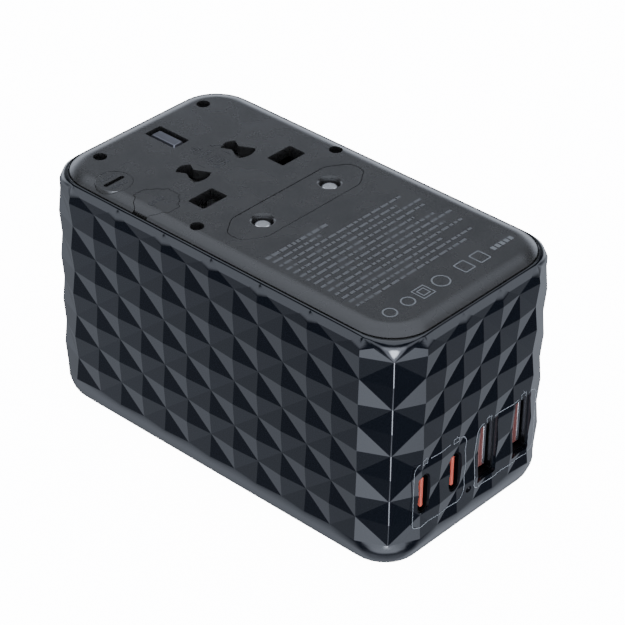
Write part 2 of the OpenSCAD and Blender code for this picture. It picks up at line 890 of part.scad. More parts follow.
module usb_c_tongues() {
    color([0.80, 0.30, 0.16])
        for (y = c_ports)
            block(usb_board_x + 2, port_mouth_x - 0.8, y - 0.35, y + 0.35,
                port_z - 3.35, port_z + 3.35);
}

module usb_a_shells() {
    color([0.78, 0.78, 0.80])
        for (y = a_ports)
            difference() {
                block(usb_board_x + 1, port_mouth_x, y - 2.8, y + 2.8, port_z - 6.5, port_z + 6.5);
                block(usb_board_x + 2, port_mouth_x + 1, y - 2.5, y + 2.5,
                    port_z - 6.2, port_z + 6.2);
            }
}

module usb_a_tongues() {
    color([0.42, 0.10, 0.08])
        for (y = a_ports)
            block(usb_board_x + 2, port_mouth_x - 1.2, y + 0.2, y + 2.0,
                port_z - 5.6, port_z + 5.6);
}

module indicator_led() {
    color([0.85, 0.90, 0.95])
        block(usb_board_x + 1, usb_board_x + 2, led_pos[0] - 0.8, led_pos[0] + 0.8,
            led_pos[1] - 0.8, led_pos[1] + 0.8);
}

module light_pipe() {
    color([0.90, 0.93, 0.95])
        translate([usb_board_x + 2.05, led_pos[0], led_pos[1]])
            rotate([0, 90, 0])
                cylinder(r = 0.7, h = half_l - 0.5 - usb_board_x - 2.05);
}

outer_shell();
plug_cover();
socket_cover();
cover_screws();
inner_frame();
uk_carriage();
uk_line_neutral_pins();
uk_pin_sleeves();
uk_earth_pin();
uk_slider_knob();
uk_lock_button();
uk_lock_spring();
us_carriage();
us_left_rotor();
us_left_blade();
us_right_rotor();
us_right_blade();
us_slider_knob();
us_lock_button();
us_lock_spring();
eu_block();
eu_carriage();
eu_pins();
eu_pin_sleeves();
eu_slider_knob();
eu_lock_button();
eu_lock_spring();
fuse_cover();
main_fuse();
fuse_contact();
spare_fuse_cap();
spare_fuse_clip();
spare_fuse();
safety_shutter();
shutter_spring();
live_busbar();
neutral_busbar();
earth_contact();
mains_board();
usb_board();
transformer_core();
transformer_winding();
bulk_capacitors();
choke();
bridge_rectifier();
output_capacitors();
usb_c_shells();
usb_c_tongues();
usb_a_shells();
usb_a_tongues();
indicator_led();
light_pipe();
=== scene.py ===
"""Universal travel adapter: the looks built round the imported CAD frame.

Shapes are worked out in millimetres in the CAD frame and become metres in piece().
"""
import math
import random
import bmesh
import bpy
from mathutils import Matrix, Vector
from mathutils.bvhtree import BVHTree


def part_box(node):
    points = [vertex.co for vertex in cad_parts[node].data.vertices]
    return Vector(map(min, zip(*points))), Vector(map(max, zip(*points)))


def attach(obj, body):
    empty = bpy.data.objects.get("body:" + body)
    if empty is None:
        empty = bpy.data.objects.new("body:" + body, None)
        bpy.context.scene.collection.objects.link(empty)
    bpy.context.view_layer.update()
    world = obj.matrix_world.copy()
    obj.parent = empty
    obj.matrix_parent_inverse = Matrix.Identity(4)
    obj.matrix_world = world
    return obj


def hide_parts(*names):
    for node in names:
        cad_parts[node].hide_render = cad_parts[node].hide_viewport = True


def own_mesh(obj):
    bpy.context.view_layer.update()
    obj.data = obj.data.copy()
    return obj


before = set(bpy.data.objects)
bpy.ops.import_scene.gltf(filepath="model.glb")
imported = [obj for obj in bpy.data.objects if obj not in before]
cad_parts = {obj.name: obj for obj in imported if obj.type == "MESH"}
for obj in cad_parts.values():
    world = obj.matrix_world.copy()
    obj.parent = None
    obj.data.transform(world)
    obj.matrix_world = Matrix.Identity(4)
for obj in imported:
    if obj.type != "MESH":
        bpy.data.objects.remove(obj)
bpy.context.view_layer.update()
random.seed(7)

# ---- sizes from the frame --------------------

MM = 0.001


def low(node):
    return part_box(node)[0] / MM


def high(node):
    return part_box(node)[1] / MM


def middle(node):
    return (low(node) + high(node)) / 2


# Shell: the pyramids rise by RISE from a rounded box, in 44 half columns and rows FACET_H high.
RISE = 0.45
HALF_L = high("outer_shell").x - RISE
HALF_W = high("outer_shell").y - RISE
CORNER_R = 8.6
STRAIGHT_X = HALF_L - CORNER_R
STRAIGHT_Y = HALF_W - CORNER_R
LONG_SIDE_COLUMNS = 13
SHORT_SIDE_COLUMNS = 7
COLUMNS = 2 * (LONG_SIDE_COLUMNS + SHORT_SIDE_COLUMNS) + 4
ROWS = 9
FACET_H = 10.54
TOP_Z = high("plug_cover").z
FACE_Z = TOP_Z - 0.03
MARK_Z = TOP_Z - 0.012
FACET_TOP = TOP_Z - 0.1
FACET_END = FACET_TOP - ROWS / 2 * FACET_H
BAND_Z = 50.83
RIM_Z = 52.25
RIM_INSET = 0.65
LEDGE_INSET = 1.1
LEDGE_R = 9.3
LEDGE_Z = 51.5
INSIDE_R = 8.8
FOOT_Z = 1.45
FOOT_INSET = 3.5

# Plug face, EU and UK spacing after the standards.
UK_X = middle("uk_line_neutral_pins").x
UK_Y = 11.11
EARTH_X = middle("uk_earth_pin").x
US_X = middle("us_left_rotor").x
US_Y = high("us_right_rotor").y - 4.1
EU_X = middle("eu_pins").x
EU_Y = 9.5
EU_HOLE_R = 2.07
SPARE_R = 3.7
FUSE = middle("main_fuse")
SPARE = middle("spare_fuse_cap")
SCREWS = [(x, s * y) for x, y in ((-39.8, 14.5), (-8, 19.6)) for s in (-1, 1)]

# USB ports; the USB-C ones come nearly flush with the wall.
PORT_Z = middle("usb_a_shells").z
PORT_BACK = low("usb_a_shells").x
A_MOUTH = high("usb_a_shells").x
C_MOUTH = HALF_L - 0.25
C_PORTS = (-15.1, -6.1)
A_PORTS = (3.6, 14.1)
LED_Y = middle("light_pipe").y
LED_Z = middle("light_pipe").z

# Travel of each slider knob.
KNOBS = {"uk": 23.5, "us": 19.0, "eu": 34.8}
BUTTON_WELL_R = 1.6

# ---- materials --------------------


def finish_of(name, colour, rough, metal=0.0, coat=0.0, mottle=0.12, grain=900.0, bump=0.05,
              streak=(1.0, 1.0, 1.0), glow=0.0):
    """Plastic or metal with mottled colour, uneven roughness and a fine bump, in object space."""
    made = bpy.data.materials.new(name)
    made.use_nodes = True
    tree = made.node_tree
    shader = tree.nodes["Principled BSDF"]
    place = tree.nodes.new("ShaderNodeTexCoord")
    stretch = tree.nodes.new("ShaderNodeMapping")
    stretch.inputs["Scale"].default_value = streak
    tree.links.new(place.outputs["Object"], stretch.inputs["Vector"])

    def noise(scale, detail):
        node = tree.nodes.new("ShaderNodeTexNoise")
        node.inputs["Scale"].default_value = scale
        node.inputs["Detail"].default_value = detail
        tree.links.new(stretch.outputs["Vector"], node.inputs["Vector"])
        return node

    coarse = noise(grain * 0.12, 3.0)
    fine = noise(grain * 4.0, 2.0)
    shade = tree.nodes.new("ShaderNodeMix")
    shade.data_type = "RGBA"
    shade.inputs["A"].default_value = [c * (1 - mottle) for c in colour] + [1.0]
    shade.inputs["B"].default_value = [min(1.0, c * (1 + mottle)) for c in colour] + [1.0]
    tree.links.new(coarse.outputs["Fac"], shade.inputs["Factor"])
    tree.links.new(shade.outputs["Result"], shader.inputs["Base Color"])
    spread = tree.nodes.new("ShaderNodeMapRange")
    spread.inputs["To Min"].default_value = rough * 0.85
    spread.inputs["To Max"].default_value = min(1.0, rough * 1.15)
    tree.links.new(coarse.outputs["Fac"], spread.inputs["Value"])
    tree.links.new(spread.outputs["Result"], shader.inputs["Roughness"])
    relief = tree.nodes.new("ShaderNodeBump")
    relief.inputs["Strength"].default_value = bump
    relief.inputs["Distance"].default_value = 0.00004
    tree.links.new(fine.outputs["Fac"], relief.inputs["Height"])
    tree.links.new(relief.outputs["Normal"], shader.inputs["Normal"])
    shader.inputs["Metallic"].default_value = metal
    shader.inputs["Coat Weight"].default_value = coat
    shader.inputs["Coat Roughness"].default_value = 0.06
    if glow:
        shader.inputs["Emission Color"].default_value = list(colour) + [1.0]
        shader.inputs["Emission Strength"].default_value = glow
    return made


FINISHES = {
    "shell_plastic": dict(colour=(0.0028, 0.0034, 0.0048), rough=0.12, coat=0.25, grain=500, bump=0.04),
    "cover_plastic": dict(colour=(0.020, 0.0192, 0.0184), rough=0.27, grain=1500, bump=0.22),
    "base_plastic": dict(colour=(0.030, 0.031, 0.035), rough=0.42, grain=1500, bump=0.22),
    "screw_steel": dict(colour=(0.72, 0.72, 0.74), rough=0.2, metal=1.0, grain=2500, bump=0.12),
    "frame_plastic": dict(colour=(0.60, 0.60, 0.58), rough=0.55, bump=0.15),
    "carriage_plastic": dict(colour=(0.022, 0.022, 0.024), rough=0.5, bump=0.2),
    # The slot is brass; the photo shows the metal grey, as nickel plating.
    "pin_brass": dict(colour=(0.42, 0.41, 0.39), rough=0.24, metal=1.0, streak=(1, 1, 0.08), bump=0.15),
    "sleeve_plastic": dict(colour=(0.012, 0.012, 0.013), rough=0.38, bump=0.15),
    "pin_nickel": dict(colour=(0.13, 0.13, 0.145), rough=0.3, metal=1.0, streak=(1, 1, 0.08), bump=0.15),
    "knob_plastic": dict(colour=(0.020, 0.021, 0.024), rough=0.34, coat=0.1, bump=0.15),
    "button_plastic": dict(colour=(0.52, 0.13, 0.03), rough=0.36, bump=0.12),
    "spring_steel": dict(colour=(0.60, 0.60, 0.62), rough=0.24, metal=1.0, bump=0.1),
    "rotor_plastic": dict(colour=(0.020, 0.020, 0.023), rough=0.45, bump=0.2),
    "eu_pin_metal": dict(colour=(0.86, 0.86, 0.87), rough=0.2, metal=1.0, streak=(1, 1, 0.1), bump=0.08),
    "fuse_ceramic": dict(colour=(0.78, 0.77, 0.72), rough=0.3, coat=0.3, bump=0.1),
    "shutter_plastic": dict(colour=(0.60, 0.20, 0.04), rough=0.45, bump=0.15),
    "contact_brass": dict(colour=(0.74, 0.58, 0.32), rough=0.3, metal=1.0, streak=(0.2, 1, 1), bump=0.2),
    "board_green": dict(colour=(0.015, 0.15, 0.07), rough=0.3, coat=0.3, mottle=0.25, bump=0.15),
    "ferrite": dict(colour=(0.035, 0.034, 0.034), rough=0.7, bump=0.6),
    "winding_tape": dict(colour=(0.72, 0.52, 0.07), rough=0.3, coat=0.2, streak=(1, 6, 1), bump=0.3),
    "capacitor_sleeve": dict(colour=(0.02, 0.02, 0.09), rough=0.3, coat=0.3, bump=0.1),
    "copper_enamel": dict(colour=(0.62, 0.24, 0.09), rough=0.3, metal=0.7, streak=(1, 1, 8), bump=0.5),
    "epoxy_black": dict(colour=(0.012, 0.012, 0.013), rough=0.55, bump=0.3),
    "can_aluminium": dict(colour=(0.72, 0.72, 0.73), rough=0.25, metal=1.0, streak=(1, 1, 0.1), bump=0.2),
    "port_steel": dict(colour=(0.020, 0.020, 0.022), rough=0.36, metal=1.0, streak=(0.1, 1, 1), bump=0.12),
    "tongue_orange": dict(colour=(0.30, 0.050, 0.030), rough=0.45, bump=0.15),
    "tongue_red": dict(colour=(0.075, 0.022, 0.018), rough=0.45, bump=0.15),
    "led_lens": dict(colour=(0.02, 0.02, 0.022), rough=0.25, coat=0.5, bump=0.05),
}
FINISH = {name: finish_of(name, **values) for name, values in FINISHES.items()}
PRINT_GREY = finish_of("print_grey", (0.115, 0.12, 0.125), 0.5, bump=0.2)
TEXT_GREY = finish_of("text_grey", (0.062, 0.063, 0.066), 0.45, bump=0.2)
# Painted shadow of debossed marks, laid flat on the face instead of a recess.
DEBOSS_SHADOW = finish_of("deboss_shadow", (0.008, 0.008, 0.009), 0.6, bump=0.2)
# Near-black finish that paints the shade deep inside the USB ports.
PORT_SHADE_BLACK = finish_of("painted_port_shade", (0.003, 0.003, 0.003), 0.7, bump=0.2)
SLOT_OF = {}
for node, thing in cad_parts.items():
    slot_name = thing.data.materials[0].name.split(".")[0]
    SLOT_OF[node] = slot_name
    thing.data.materials.clear()
    thing.data.materials.append(FINISH[slot_name])

# ---- outlines and mesh helpers --------------------


def circle(x, y, r, n=40):
    return [(x + r * math.cos(2 * math.pi * i / n), y + r * math.sin(2 * math.pi * i / n)) for i in range(n)]


def rounded(hx, hy, r, n=10, x=0.0, y=0.0):
    """Rounded rectangle of half sizes hx and hy, anticlockwise."""
    loop = []
    for quarter, (sx, sy) in enumerate(((1, 1), (-1, 1), (-1, -1), (1, -1))):
        for i in range(n + 1):
            a = math.radians(90 * quarter + 90 * i / n)
            loop.append((x + sx * (hx - r) + r * math.cos(a), y + sy * (hy - r) + r * math.sin(a)))
    return loop


def softened(points, r, n=4):
    """Closed outline with each corner cut back by r and rounded."""
    loop = []
    for i, p in enumerate(points):
        b = Vector(p)
        a = b + (Vector(points[i - 1]) - b).normalized() * r
        c = b + (Vector(points[(i + 1) % len(points)]) - b).normalized() * r
        for k in range(n + 1):
            t = k / n
            q = a * (1 - t) ** 2 + b * 2 * t * (1 - t) + c * t * t
            loop.append((q.x, q.y))
    return loop


def grown(loop, d):
    """Anticlockwise outline moved outwards by d."""
    out = []
    for i, p in enumerate(loop):
        b = Vector(p)
        u = (b - Vector(loop[i - 1])).normalized()
        v = (Vector(loop[(i + 1) % len(loop)]) - b).normalized()
        m = Vector((u.y + v.y, -u.x - v.x))
        out.append(tuple(b + m * d / max(0.4, 1 + u.dot(v))))
    return out


def at_height(loop, z):
    return [Vector((x, y, z)) for x, y in loop]


def ring(bm, points):
    return [bm.verts.new(p) for p in points]


def skin(bm, a, b):
    n = len(a)
    return [bm.faces.new((a[i - 1], a[i], b[i], b[i - 1])) for i in range(n)]


def flat_fill(bm, *rings):
    """Flat area between closed rings of vertices."""
    edges = []
    for loop in rings:
        for i in range(len(loop)):
            edges.append(bm.edges.get((loop[i - 1], loop[i])) or bm.edges.new((loop[i - 1], loop[i])))
    bmesh.ops.triangle_fill(bm, use_beauty=True, edges=edges)


def loft(bm, rings):
    """Closed solid through rings of points with the same count."""
    made = [ring(bm, points) for points in rings]
    for a, b in zip(made, made[1:]):
        skin(bm, a, b)
    bm.faces.new(list(reversed(made[0])))
    bm.faces.new(made[-1])
    return made


def upright(bm, loop, z0, z1, edge=0.0, steps=3):
    """Upright solid of an outline, its two rims rounded by edge."""
    rings = []
    for i in range(steps + 1) if edge else [0]:
        a = math.radians(90 * i / steps) if edge else 0.0
        rings.append(at_height(grown(loop, -edge * (1 - math.sin(a))), z0 + edge * (1 - math.cos(a))))
    for i in range(steps + 1) if edge else [0]:
        a = math.radians(90 * i / steps) if edge else 0.0
        rings.append(at_height(grown(loop, -edge * (1 - math.cos(a))), z1 - edge * (1 - math.sin(a))))
    loft(bm, rings)


def prism(*shape):
    """A bmesh of its own with one upright solid in it."""
    bm = bmesh.new()
    upright(bm, *shape)
    return bm


def turned(x, y, profile, n):
    """Round solid about an upright line, through (radius, height) pairs."""
    bm = bmesh.new()
    loft(bm, [at_height(circle(x, y, r, n), z) for r, z in profile])
    return bm


def box_loop(x0, x1, y0, y1):
    return [(x0, y0), (x1, y0), (x1, y1), (x0, y1)]


def laid(bm, turn):
    bmesh.ops.transform(bm, matrix=Matrix(turn), verts=bm.verts)
    bmesh.ops.reverse_faces(bm, faces=bm.faces)
    return bm


def along_x(bm, x):
    """Lays what was made upright along +X, its own x to z, from x."""
    return laid(bm, ((0, 0, 1, x), (0, 1, 0, 0), (1, 0, 0, 0), (0, 0, 0, 1)))


def along_y(bm, y):
    """Lays what was made upright along +Y, its own y to z, from y."""
    return laid(bm, ((1, 0, 0, 0), (0, 0, 1, y), (0, 1, 0, 0), (0, 0, 0, 1)))


def joined(*parts):
    """One bmesh of several; the parts are used up."""
    whole = bmesh.new()
    for part in parts:
        held = bpy.data.meshes.new("held")
        part.to_mesh(held)
        part.free()
        whole.from_mesh(held)
        bpy.data.meshes.remove(held)
    return whole


def plain_object(bm):
    bmesh.ops.recalc_face_normals(bm, faces=bm.faces)
    mesh = bpy.data.meshes.new("work")
    bm.to_mesh(mesh)
    bm.free()
    thing = bpy.data.objects.new("work", mesh)
    bpy.context.scene.collection.objects.link(thing)
    return thing


def combined(bm, other, operation):
    """Boolean of two solids, which are both used up."""
    solid = plain_object(bm)
    tool = plain_object(other)
    step = solid.modifiers.new("combine", "BOOLEAN")
    step.object = tool
    step.solver = "EXACT"
    step.operation = operation
    bpy.context.view_layer.update()
    graph = bpy.context.evaluated_depsgraph_get()
    mesh = bpy.data.meshes.new_from_object(solid.evaluated_get(graph))
    out = bmesh.new()
    out.from_mesh(mesh)
    for thing in (solid, tool):
        spare = thing.data
        bpy.data.objects.remove(thing)
        bpy.data.meshes.remove(spare)
    bpy.data.meshes.remove(mesh)
    return out


def subtract(bm, cutter):
    return combined(bm, cutter, "DIFFERENCE")


def piece(name, bm, body, node=None, slot="cover_plastic", finish=None, bevel=0.0, smooth=38):
    """Makes an object of bm, in metres, that rides on body and stands for the CAD node, if any."""
    if node:
        slot = SLOT_OF[node]
    bmesh.ops.remove_doubles(bm, verts=bm.verts, dist=1e-4)
    bmesh.ops.recalc_face_normals(bm, faces=bm.faces)
    bmesh.ops.scale(bm, vec=(MM, MM, MM), verts=bm.verts)
    mesh = bpy.data.meshes.new(name)
    bm.to_mesh(mesh)
    bm.free()
    if smooth:
        mesh.polygons.foreach_set("use_smooth", [True] * len(mesh.polygons))
        mesh.set_sharp_from_angle(angle=math.radians(smooth))
    mesh.materials.append(finish or FINISH[slot])
    thing = bpy.data.objects.new(name, mesh)
    bpy.context.scene.collection.objects.link(thing)
    if bevel:
        soft = thing.modifiers.new("edge", "BEVEL")
        soft.width = bevel * MM
        soft.segments = 2
        soft.limit_method = "ANGLE"
        soft.angle_limit = math.radians(40)
        soft.harden_normals = True
    if smooth:
        even = thing.modifiers.new("shade", "WEIGHTED_NORMAL")
        even.keep_sharp = True
    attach(thing, body)
    if node:
        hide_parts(node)
    return thing


# ---- faceted shell --------------------


def wall_columns():
    """Base point, outward normal and direction towards the near corner (or None) of each column."""
    k = math.cos(math.radians(45))
    found = []
    sides = ((LONG_SIDE_COLUMNS, 0, -1), (SHORT_SIDE_COLUMNS, 1, 0),
             (LONG_SIDE_COLUMNS, 0, 1), (SHORT_SIDE_COLUMNS, -1, 0))
    for side, (count, nx, ny) in enumerate(sides):
        for i in range(count):
            t = i / (count - 1) * 2 - 1
            if side % 2 == 0:
                base = Vector((t * STRAIGHT_X * -ny, HALF_W * ny))
            else:
                base = Vector((HALF_L * nx, t * STRAIGHT_Y * nx))
            travel = Vector((-ny, nx))
            towards = -travel if i == 0 else travel if i == count - 1 else None
            found.append((base, Vector((nx, ny)), towards))
        nxt = Vector((nx - ny, ny + nx)) * k
        core = Vector((math.copysign(STRAIGHT_X, nxt.x), math.copysign(STRAIGHT_Y, nxt.y)))
        found.append((core + nxt * CORNER_R, nxt, None))
    return found


COLUMN = wall_columns()
CORNERS = [c for c in range(COLUMNS) if abs(abs(COLUMN[c][1].x) - abs(COLUMN[c][1].y)) < 0.01]


def row_z(j):
    return FACET_TOP - j / 2 * FACET_H


def out_by(c, d, z):
    """Point of column c at height z, out from the wall by d; apexes beside a corner lean to it."""
    base, normal, towards = COLUMN[c % COLUMNS]
    push = normal * d
    if towards is not None and d > 0:
        push = push + towards * 0.6 * d
    spot = base + push
    return Vector((spot.x, spot.y, z))


def wall_point(c, j):
    return out_by(c, RISE if (c + j) % 2 else 0.0, row_z(j))


def corner_arc(c, radius, t, z):
    """Point on the upright corner of column c; t runs from 0 to 1 over its quarter turn."""
    base, normal, _ = COLUMN[c]
    core = base - normal * CORNER_R
    start = math.atan2(normal.y, normal.x) - math.pi / 4
    a = start + t * math.pi / 2
    return Vector((core.x + radius * math.cos(a), core.y + radius * math.sin(a), z))


def on_rounded(p, hx, hy, r, z):
    """Nearest point to p on a rounded rectangle."""
    core = Vector((max(-(hx - r), min(hx - r, p.x)), max(-(hy - r), min(hy - r, p.y))))
    away = (Vector((p.x, p.y)) - core).normalized()
    spot = core + away * r
    return Vector((spot.x, spot.y, z))


def foot_inset(z):
    """How far the rounded foot draws in at height z."""
    t = (FACET_END - z) / FACET_END
    return FOOT_INSET * (1 - math.sqrt(max(0.0, 1 - t * t)))


class Web:
    """Vertices of the shell shared by position, so that its faces join up."""

    def __init__(self, bm):
        self.bm = bm
        self.known = {}

    def vert(self, p):
        key = (round(p.x, 4), round(p.y, 4), round(p.z, 4))
        if key not in self.known:
            self.known[key] = self.bm.verts.new(p)
        return self.known[key]

    def face(self, points, smooth=False):
        verts = []
        for p in points:
            v = self.vert(p)
            if v not in verts:
                verts.append(v)
        if len(verts) > 2:
            made = self.bm.faces.new(verts)
            made.smooth = smooth
            return made
        return None


def band_point(even, odd):
    """Where the valley from the rim to the odd column's node meets the wall plane."""
    a, b = COLUMN[even % COLUMNS][0], COLUMN[odd % COLUMNS][0]
    spot = a.lerp(b, 0.39)
    return Vector((spot.x, spot.y, BAND_Z))


RIDGE_STEPS = 5


def ridge(c):
    """Curve from the top pyramids' apex of even column c up to the rim, without the apex."""
    points = []
    for i in range(RIDGE_STEPS + 1):
        t = i / RIDGE_STEPS
        start, bend, end = out_by(c, 0.277, 50.0), out_by(c, 0.0925, 51.5), out_by(c, -RIM_INSET, RIM_Z)
        points.append(start * (1 - t) ** 2 + bend * 2 * t * (1 - t) + end * t * t)
    return points


def valley(even, odd):
    start, end = band_point(even, odd), out_by(even, -RIM_INSET, RIM_Z)
    return [start.lerp(end, i / RIDGE_STEPS) for i in range(RIDGE_STEPS + 1)]


def rim_span(c):
    """Rim points from even column c to even column c + 2, without the last."""
    a, b = out_by(c, -RIM_INSET, RIM_Z), out_by(c + 2, -RIM_INSET, RIM_Z)
    if (c + 1) % COLUMNS in CORNERS:
        return [corner_arc((c + 1) % COLUMNS, CORNER_R - RIM_INSET, i / 10, RIM_Z) for i in range(10)]
    return [a.lerp(b, i / 4) for i in range(4)]


def corner_band(corner, i):
    """Point i of 10 on the lower edge of the bright corner patch."""
    t = i / 10
    lo, hi = band_point(corner - 1, corner), band_point(corner + 1, corner)
    core = COLUMN[corner][0] - COLUMN[corner][1] * CORNER_R
    a0 = math.atan2(lo.y - core.y, lo.x - core.x)
    a1 = math.atan2(hi.y - core.y, hi.x - core.x)
    if a1 < a0:
        a1 += 2 * math.pi
    r = (Vector((lo.x, lo.y)) - core).length
    r += (CORNER_R - r) * math.sin(math.pi * t)
    a = a0 + (a1 - a0) * t
    return Vector((core.x + r * math.cos(a), core.y + r * math.sin(a), BAND_Z))


def foot_edge(c):
    """Points of the pattern's lower edge from column c to the next, without the last."""
    a, b = wall_point(c, ROWS), wall_point(c + 1, ROWS)
    steps = 4 if c % COLUMNS in CORNERS or (c + 1) % COLUMNS in CORNERS else 1
    return [a.lerp(b, i / steps) for i in range(steps)]


def foot_ring(k, steps, z_end):
    """Ring k of the rounded foot: the zigzag fades and the corners turn round."""
    z = FACET_END + (z_end - FACET_END) * k / steps
    fade = (1 - k / steps) ** 2
    roundness = min(1.0, k / 3)
    points = []
    for c in range(COLUMNS):
        edge = foot_edge(c)
        for i, p in enumerate(edge):
            t = i / len(edge)
            near_corner = len(edge) > 1
            (b0, n0, _), (b1, n1, _) = COLUMN[c], COLUMN[(c + 1) % COLUMNS]
            flat = b0.lerp(b1, t)
            normal = n0.lerp(n1, t).normalized()
            if near_corner:
                corner = c if c in CORNERS else (c + 1) % COLUMNS
                share = t / 2 + (0.5 if c in CORNERS else 0.0)
                arc = corner_arc(corner, CORNER_R, share, z)
                core = COLUMN[corner][0] - COLUMN[corner][1] * CORNER_R
                flat = flat.lerp(Vector((arc.x, arc.y)), roundness)
                normal = (Vector((arc.x, arc.y)) - core).normalized()
            rise = (Vector((p.x, p.y)) - b0.lerp(b1, t)) * fade
            spot = flat + rise - normal * foot_inset(z)
            points.append(Vector((spot.x, spot.y, z)))
    return points


def facets(web):
    """The four faces of each pyramid; the last row ends at the foot's edge."""
    for j in range(1, ROWS + 1):
        for c in range(COLUMNS):
            if (c + j) % 2 == 0:
                continue
            apex, left, right = wall_point(c, j), wall_point(c - 1, j), wall_point(c + 1, j)
            if j > 1:
                above = wall_point(c, j - 1)
                if j == ROWS:
                    before = list(reversed(foot_edge(c - 1)))
                    after = foot_edge(c)[1:]
                    web.face([apex] + before + [above])
                    web.face([apex, above, right] + list(reversed(after)))
                else:
                    web.face([apex, left, above])
                    web.face([apex, above, right])
            if j < ROWS:
                below = wall_point(c, j + 1)
                web.face([apex, below, left])
                web.face([apex, right, below])


def top_band(web):
    """Scalloped band from the first row up to the rim, with a smooth patch at each corner."""
    for c in range(0, COLUMNS, 2):
        apex, up = wall_point(c, 1), ridge(c)
        for odd in (c - 1, c + 1):
            side = valley(c, odd)
            web.face([apex, wall_point(odd, 1), side[0], up[0]])
            for i in range(RIDGE_STEPS):
                web.face([up[i], side[i], side[i + 1], up[i + 1]], smooth=True)
        odd = (c + 1) % COLUMNS
        left, right = valley(c, c + 1), valley(c + 2, c + 1)
        rim = rim_span(c) + [out_by(c + 2, -RIM_INSET, RIM_Z)]
        if odd in CORNERS:
            lower = [corner_band(odd, i) for i in range(11)]
            for i in range(10):
                quad = [rim[i], rim[i + 1], lower[i + 1], lower[i]]
                if i == 0:
                    quad = [rim[0], rim[1], lower[1]] + left[:-1]
                if i == 9:
                    quad = [rim[9]] + list(reversed(right)) + [lower[9]]
                web.face(quad, smooth=True)
                web.face([lower[i], lower[i + 1], wall_point(odd, 1)], smooth=True)
        else:
            web.face(rim + list(reversed(right))[1:] + left[:-1])
            web.face([left[0], right[0], wall_point(odd, 1)])


def inner_ledge(rim, z):
    return [on_rounded(p, HALF_L - LEDGE_INSET, HALF_W - LEDGE_INSET, LEDGE_R, z) for p in rim]


def shell_surface():
    """Closed shell: facets, rim, cavity and foot."""
    bm = bmesh.new()
    web = Web(bm)
    facets(web)
    top_band(web)
    rim = [p for c in range(0, COLUMNS, 2) for p in rim_span(c)]
    outer = [web.vert(p) for p in rim]
    for inset, z in ((0.82, RIM_Z + 0.25), (1.05, RIM_Z + 0.35)):
        share = (inset - RIM_INSET) / (LEDGE_INSET - RIM_INSET)
        target = inner_ledge(rim, z)
        level = ring(bm, [Vector((p.x, p.y, z)).lerp(q, share) for p, q in zip(rim, target)])
        for made in skin(bm, outer, level):
            made.smooth = True
        outer = level
    wall_top = ring(bm, inner_ledge(rim, RIM_Z + 0.25))
    wall_low = ring(bm, inner_ledge(rim, LEDGE_Z))
    skin(bm, outer, wall_top)
    skin(bm, wall_top, wall_low)
    recess_z = 3.2
    cavity = rounded(HALF_L - 1.8, HALF_W - 1.8, INSIDE_R)
    cavity_top, cavity_low = ring(bm, at_height(cavity, LEDGE_Z)), ring(bm, at_height(cavity, recess_z))
    flat_fill(bm, wall_low, cavity_top)
    skin(bm, cavity_top, cavity_low)
    recess = rounded(HALF_L - 1.55, HALF_W - 1.55, INSIDE_R)
    recess_top, recess_low = ring(bm, at_height(recess, recess_z)), ring(bm, at_height(recess, FOOT_Z))
    flat_fill(bm, cavity_low, recess_top)
    skin(bm, recess_top, recess_low)
    foot = [web.vert(p) for c in range(COLUMNS) for p in foot_edge(c)]
    steps = 8
    for k in range(1, steps + 1):
        level = ring(bm, foot_ring(k, steps, FOOT_Z))
        for made in skin(bm, foot, level):
            made.smooth = True
        foot = level
    flat_fill(bm, foot, recess_low)
    return bm


def shell_cutters():
    """Port openings, light hole and slider slots."""
    parts = []
    for y in C_PORTS:
        parts.append(along_x(prism(rounded(4.5, 1.63, 1.62, x=PORT_Z, y=y), 0, 8), HALF_L - 4))
    for y in A_PORTS:
        parts.append(along_x(prism(rounded(6.6, 2.86, 0.35, 3, x=PORT_Z, y=y), 0, 8), HALF_L - 4))
    parts.append(along_x(prism(circle(LED_Z, LED_Y, 0.75, 20), 0, 8), HALF_L - 4))
    for plug, travel in KNOBS.items():
        x, z = middle(plug + "_lock_button").x, middle(plug + "_lock_button").z
        for hx, y, margin in ((2.3, HALF_W - 3, 3.3), (4.4, HALF_W - 0.9, 4.9)):
            bottom, top = z - margin, z + travel + margin
            loop = rounded(hx, (top - bottom) / 2, 0.6, 4, x=x, y=(top + bottom) / 2)
            parts.append(along_y(prism(loop, 0, 8), y))
    return joined(*parts)


def on_corner_line(p):
    """Whether p lies on the outermost upright line of a corner."""
    for c in CORNERS:
        base, normal, _ = COLUMN[c]
        away = Vector((p.x, p.y)) - base
        if away.dot(normal) > -0.01 and abs(away.cross(normal)) < 0.05:
            return True
    return False


def corner_ridges(surface):
    """The steep edges that run down the four corners."""
    found = []
    for edge in surface.edges:
        a, b = edge.verts[0].co, edge.verts[1].co
        steep = abs(a.z - b.z) > 4 and (a.xy - b.xy).length < 0.6
        if steep and (on_corner_line(a) or on_corner_line(b)):
            found.append(edge)
    return found


def build_shell():
    """Makes the shell and gives back a tree for finding its wall."""
    surface = shell_surface()
    bmesh.ops.recalc_face_normals(surface, faces=surface.faces)
    bmesh.ops.bevel(surface, geom=corner_ridges(surface), offset=0.13, segments=3, profile=0.5,
                    affect="EDGES", clamp_overlap=True)
    solid = subtract(surface, shell_cutters())
    probe = BVHTree.FromBMesh(solid)
    piece("shell", solid, "casing", "outer_shell", smooth=0)
    return probe


# ---- plug face --------------------


def bow_tie(sign):
    """Opening of a US blade: a short fan and a long one on the blade's axis."""
    twist = math.radians(28)
    edge = 0.97 * math.cos(twist)
    front = twist + math.asin(edge / 4.1)
    back = twist + math.asin(edge / 2.8)
    cx, cy = US_X, sign * US_Y
    turns = [i / 5 - 1 for i in range(11)]
    loop = [(cx, cy - 0.97)]
    loop += [(cx + 4.1 * math.cos(front * t), cy + 4.1 * math.sin(front * t)) for t in turns]
    loop += [(cx, cy + 0.97)]
    loop += [(cx - 2.8 * math.cos(-back * t), cy + 2.8 * math.sin(-back * t)) for t in turns]
    return loop


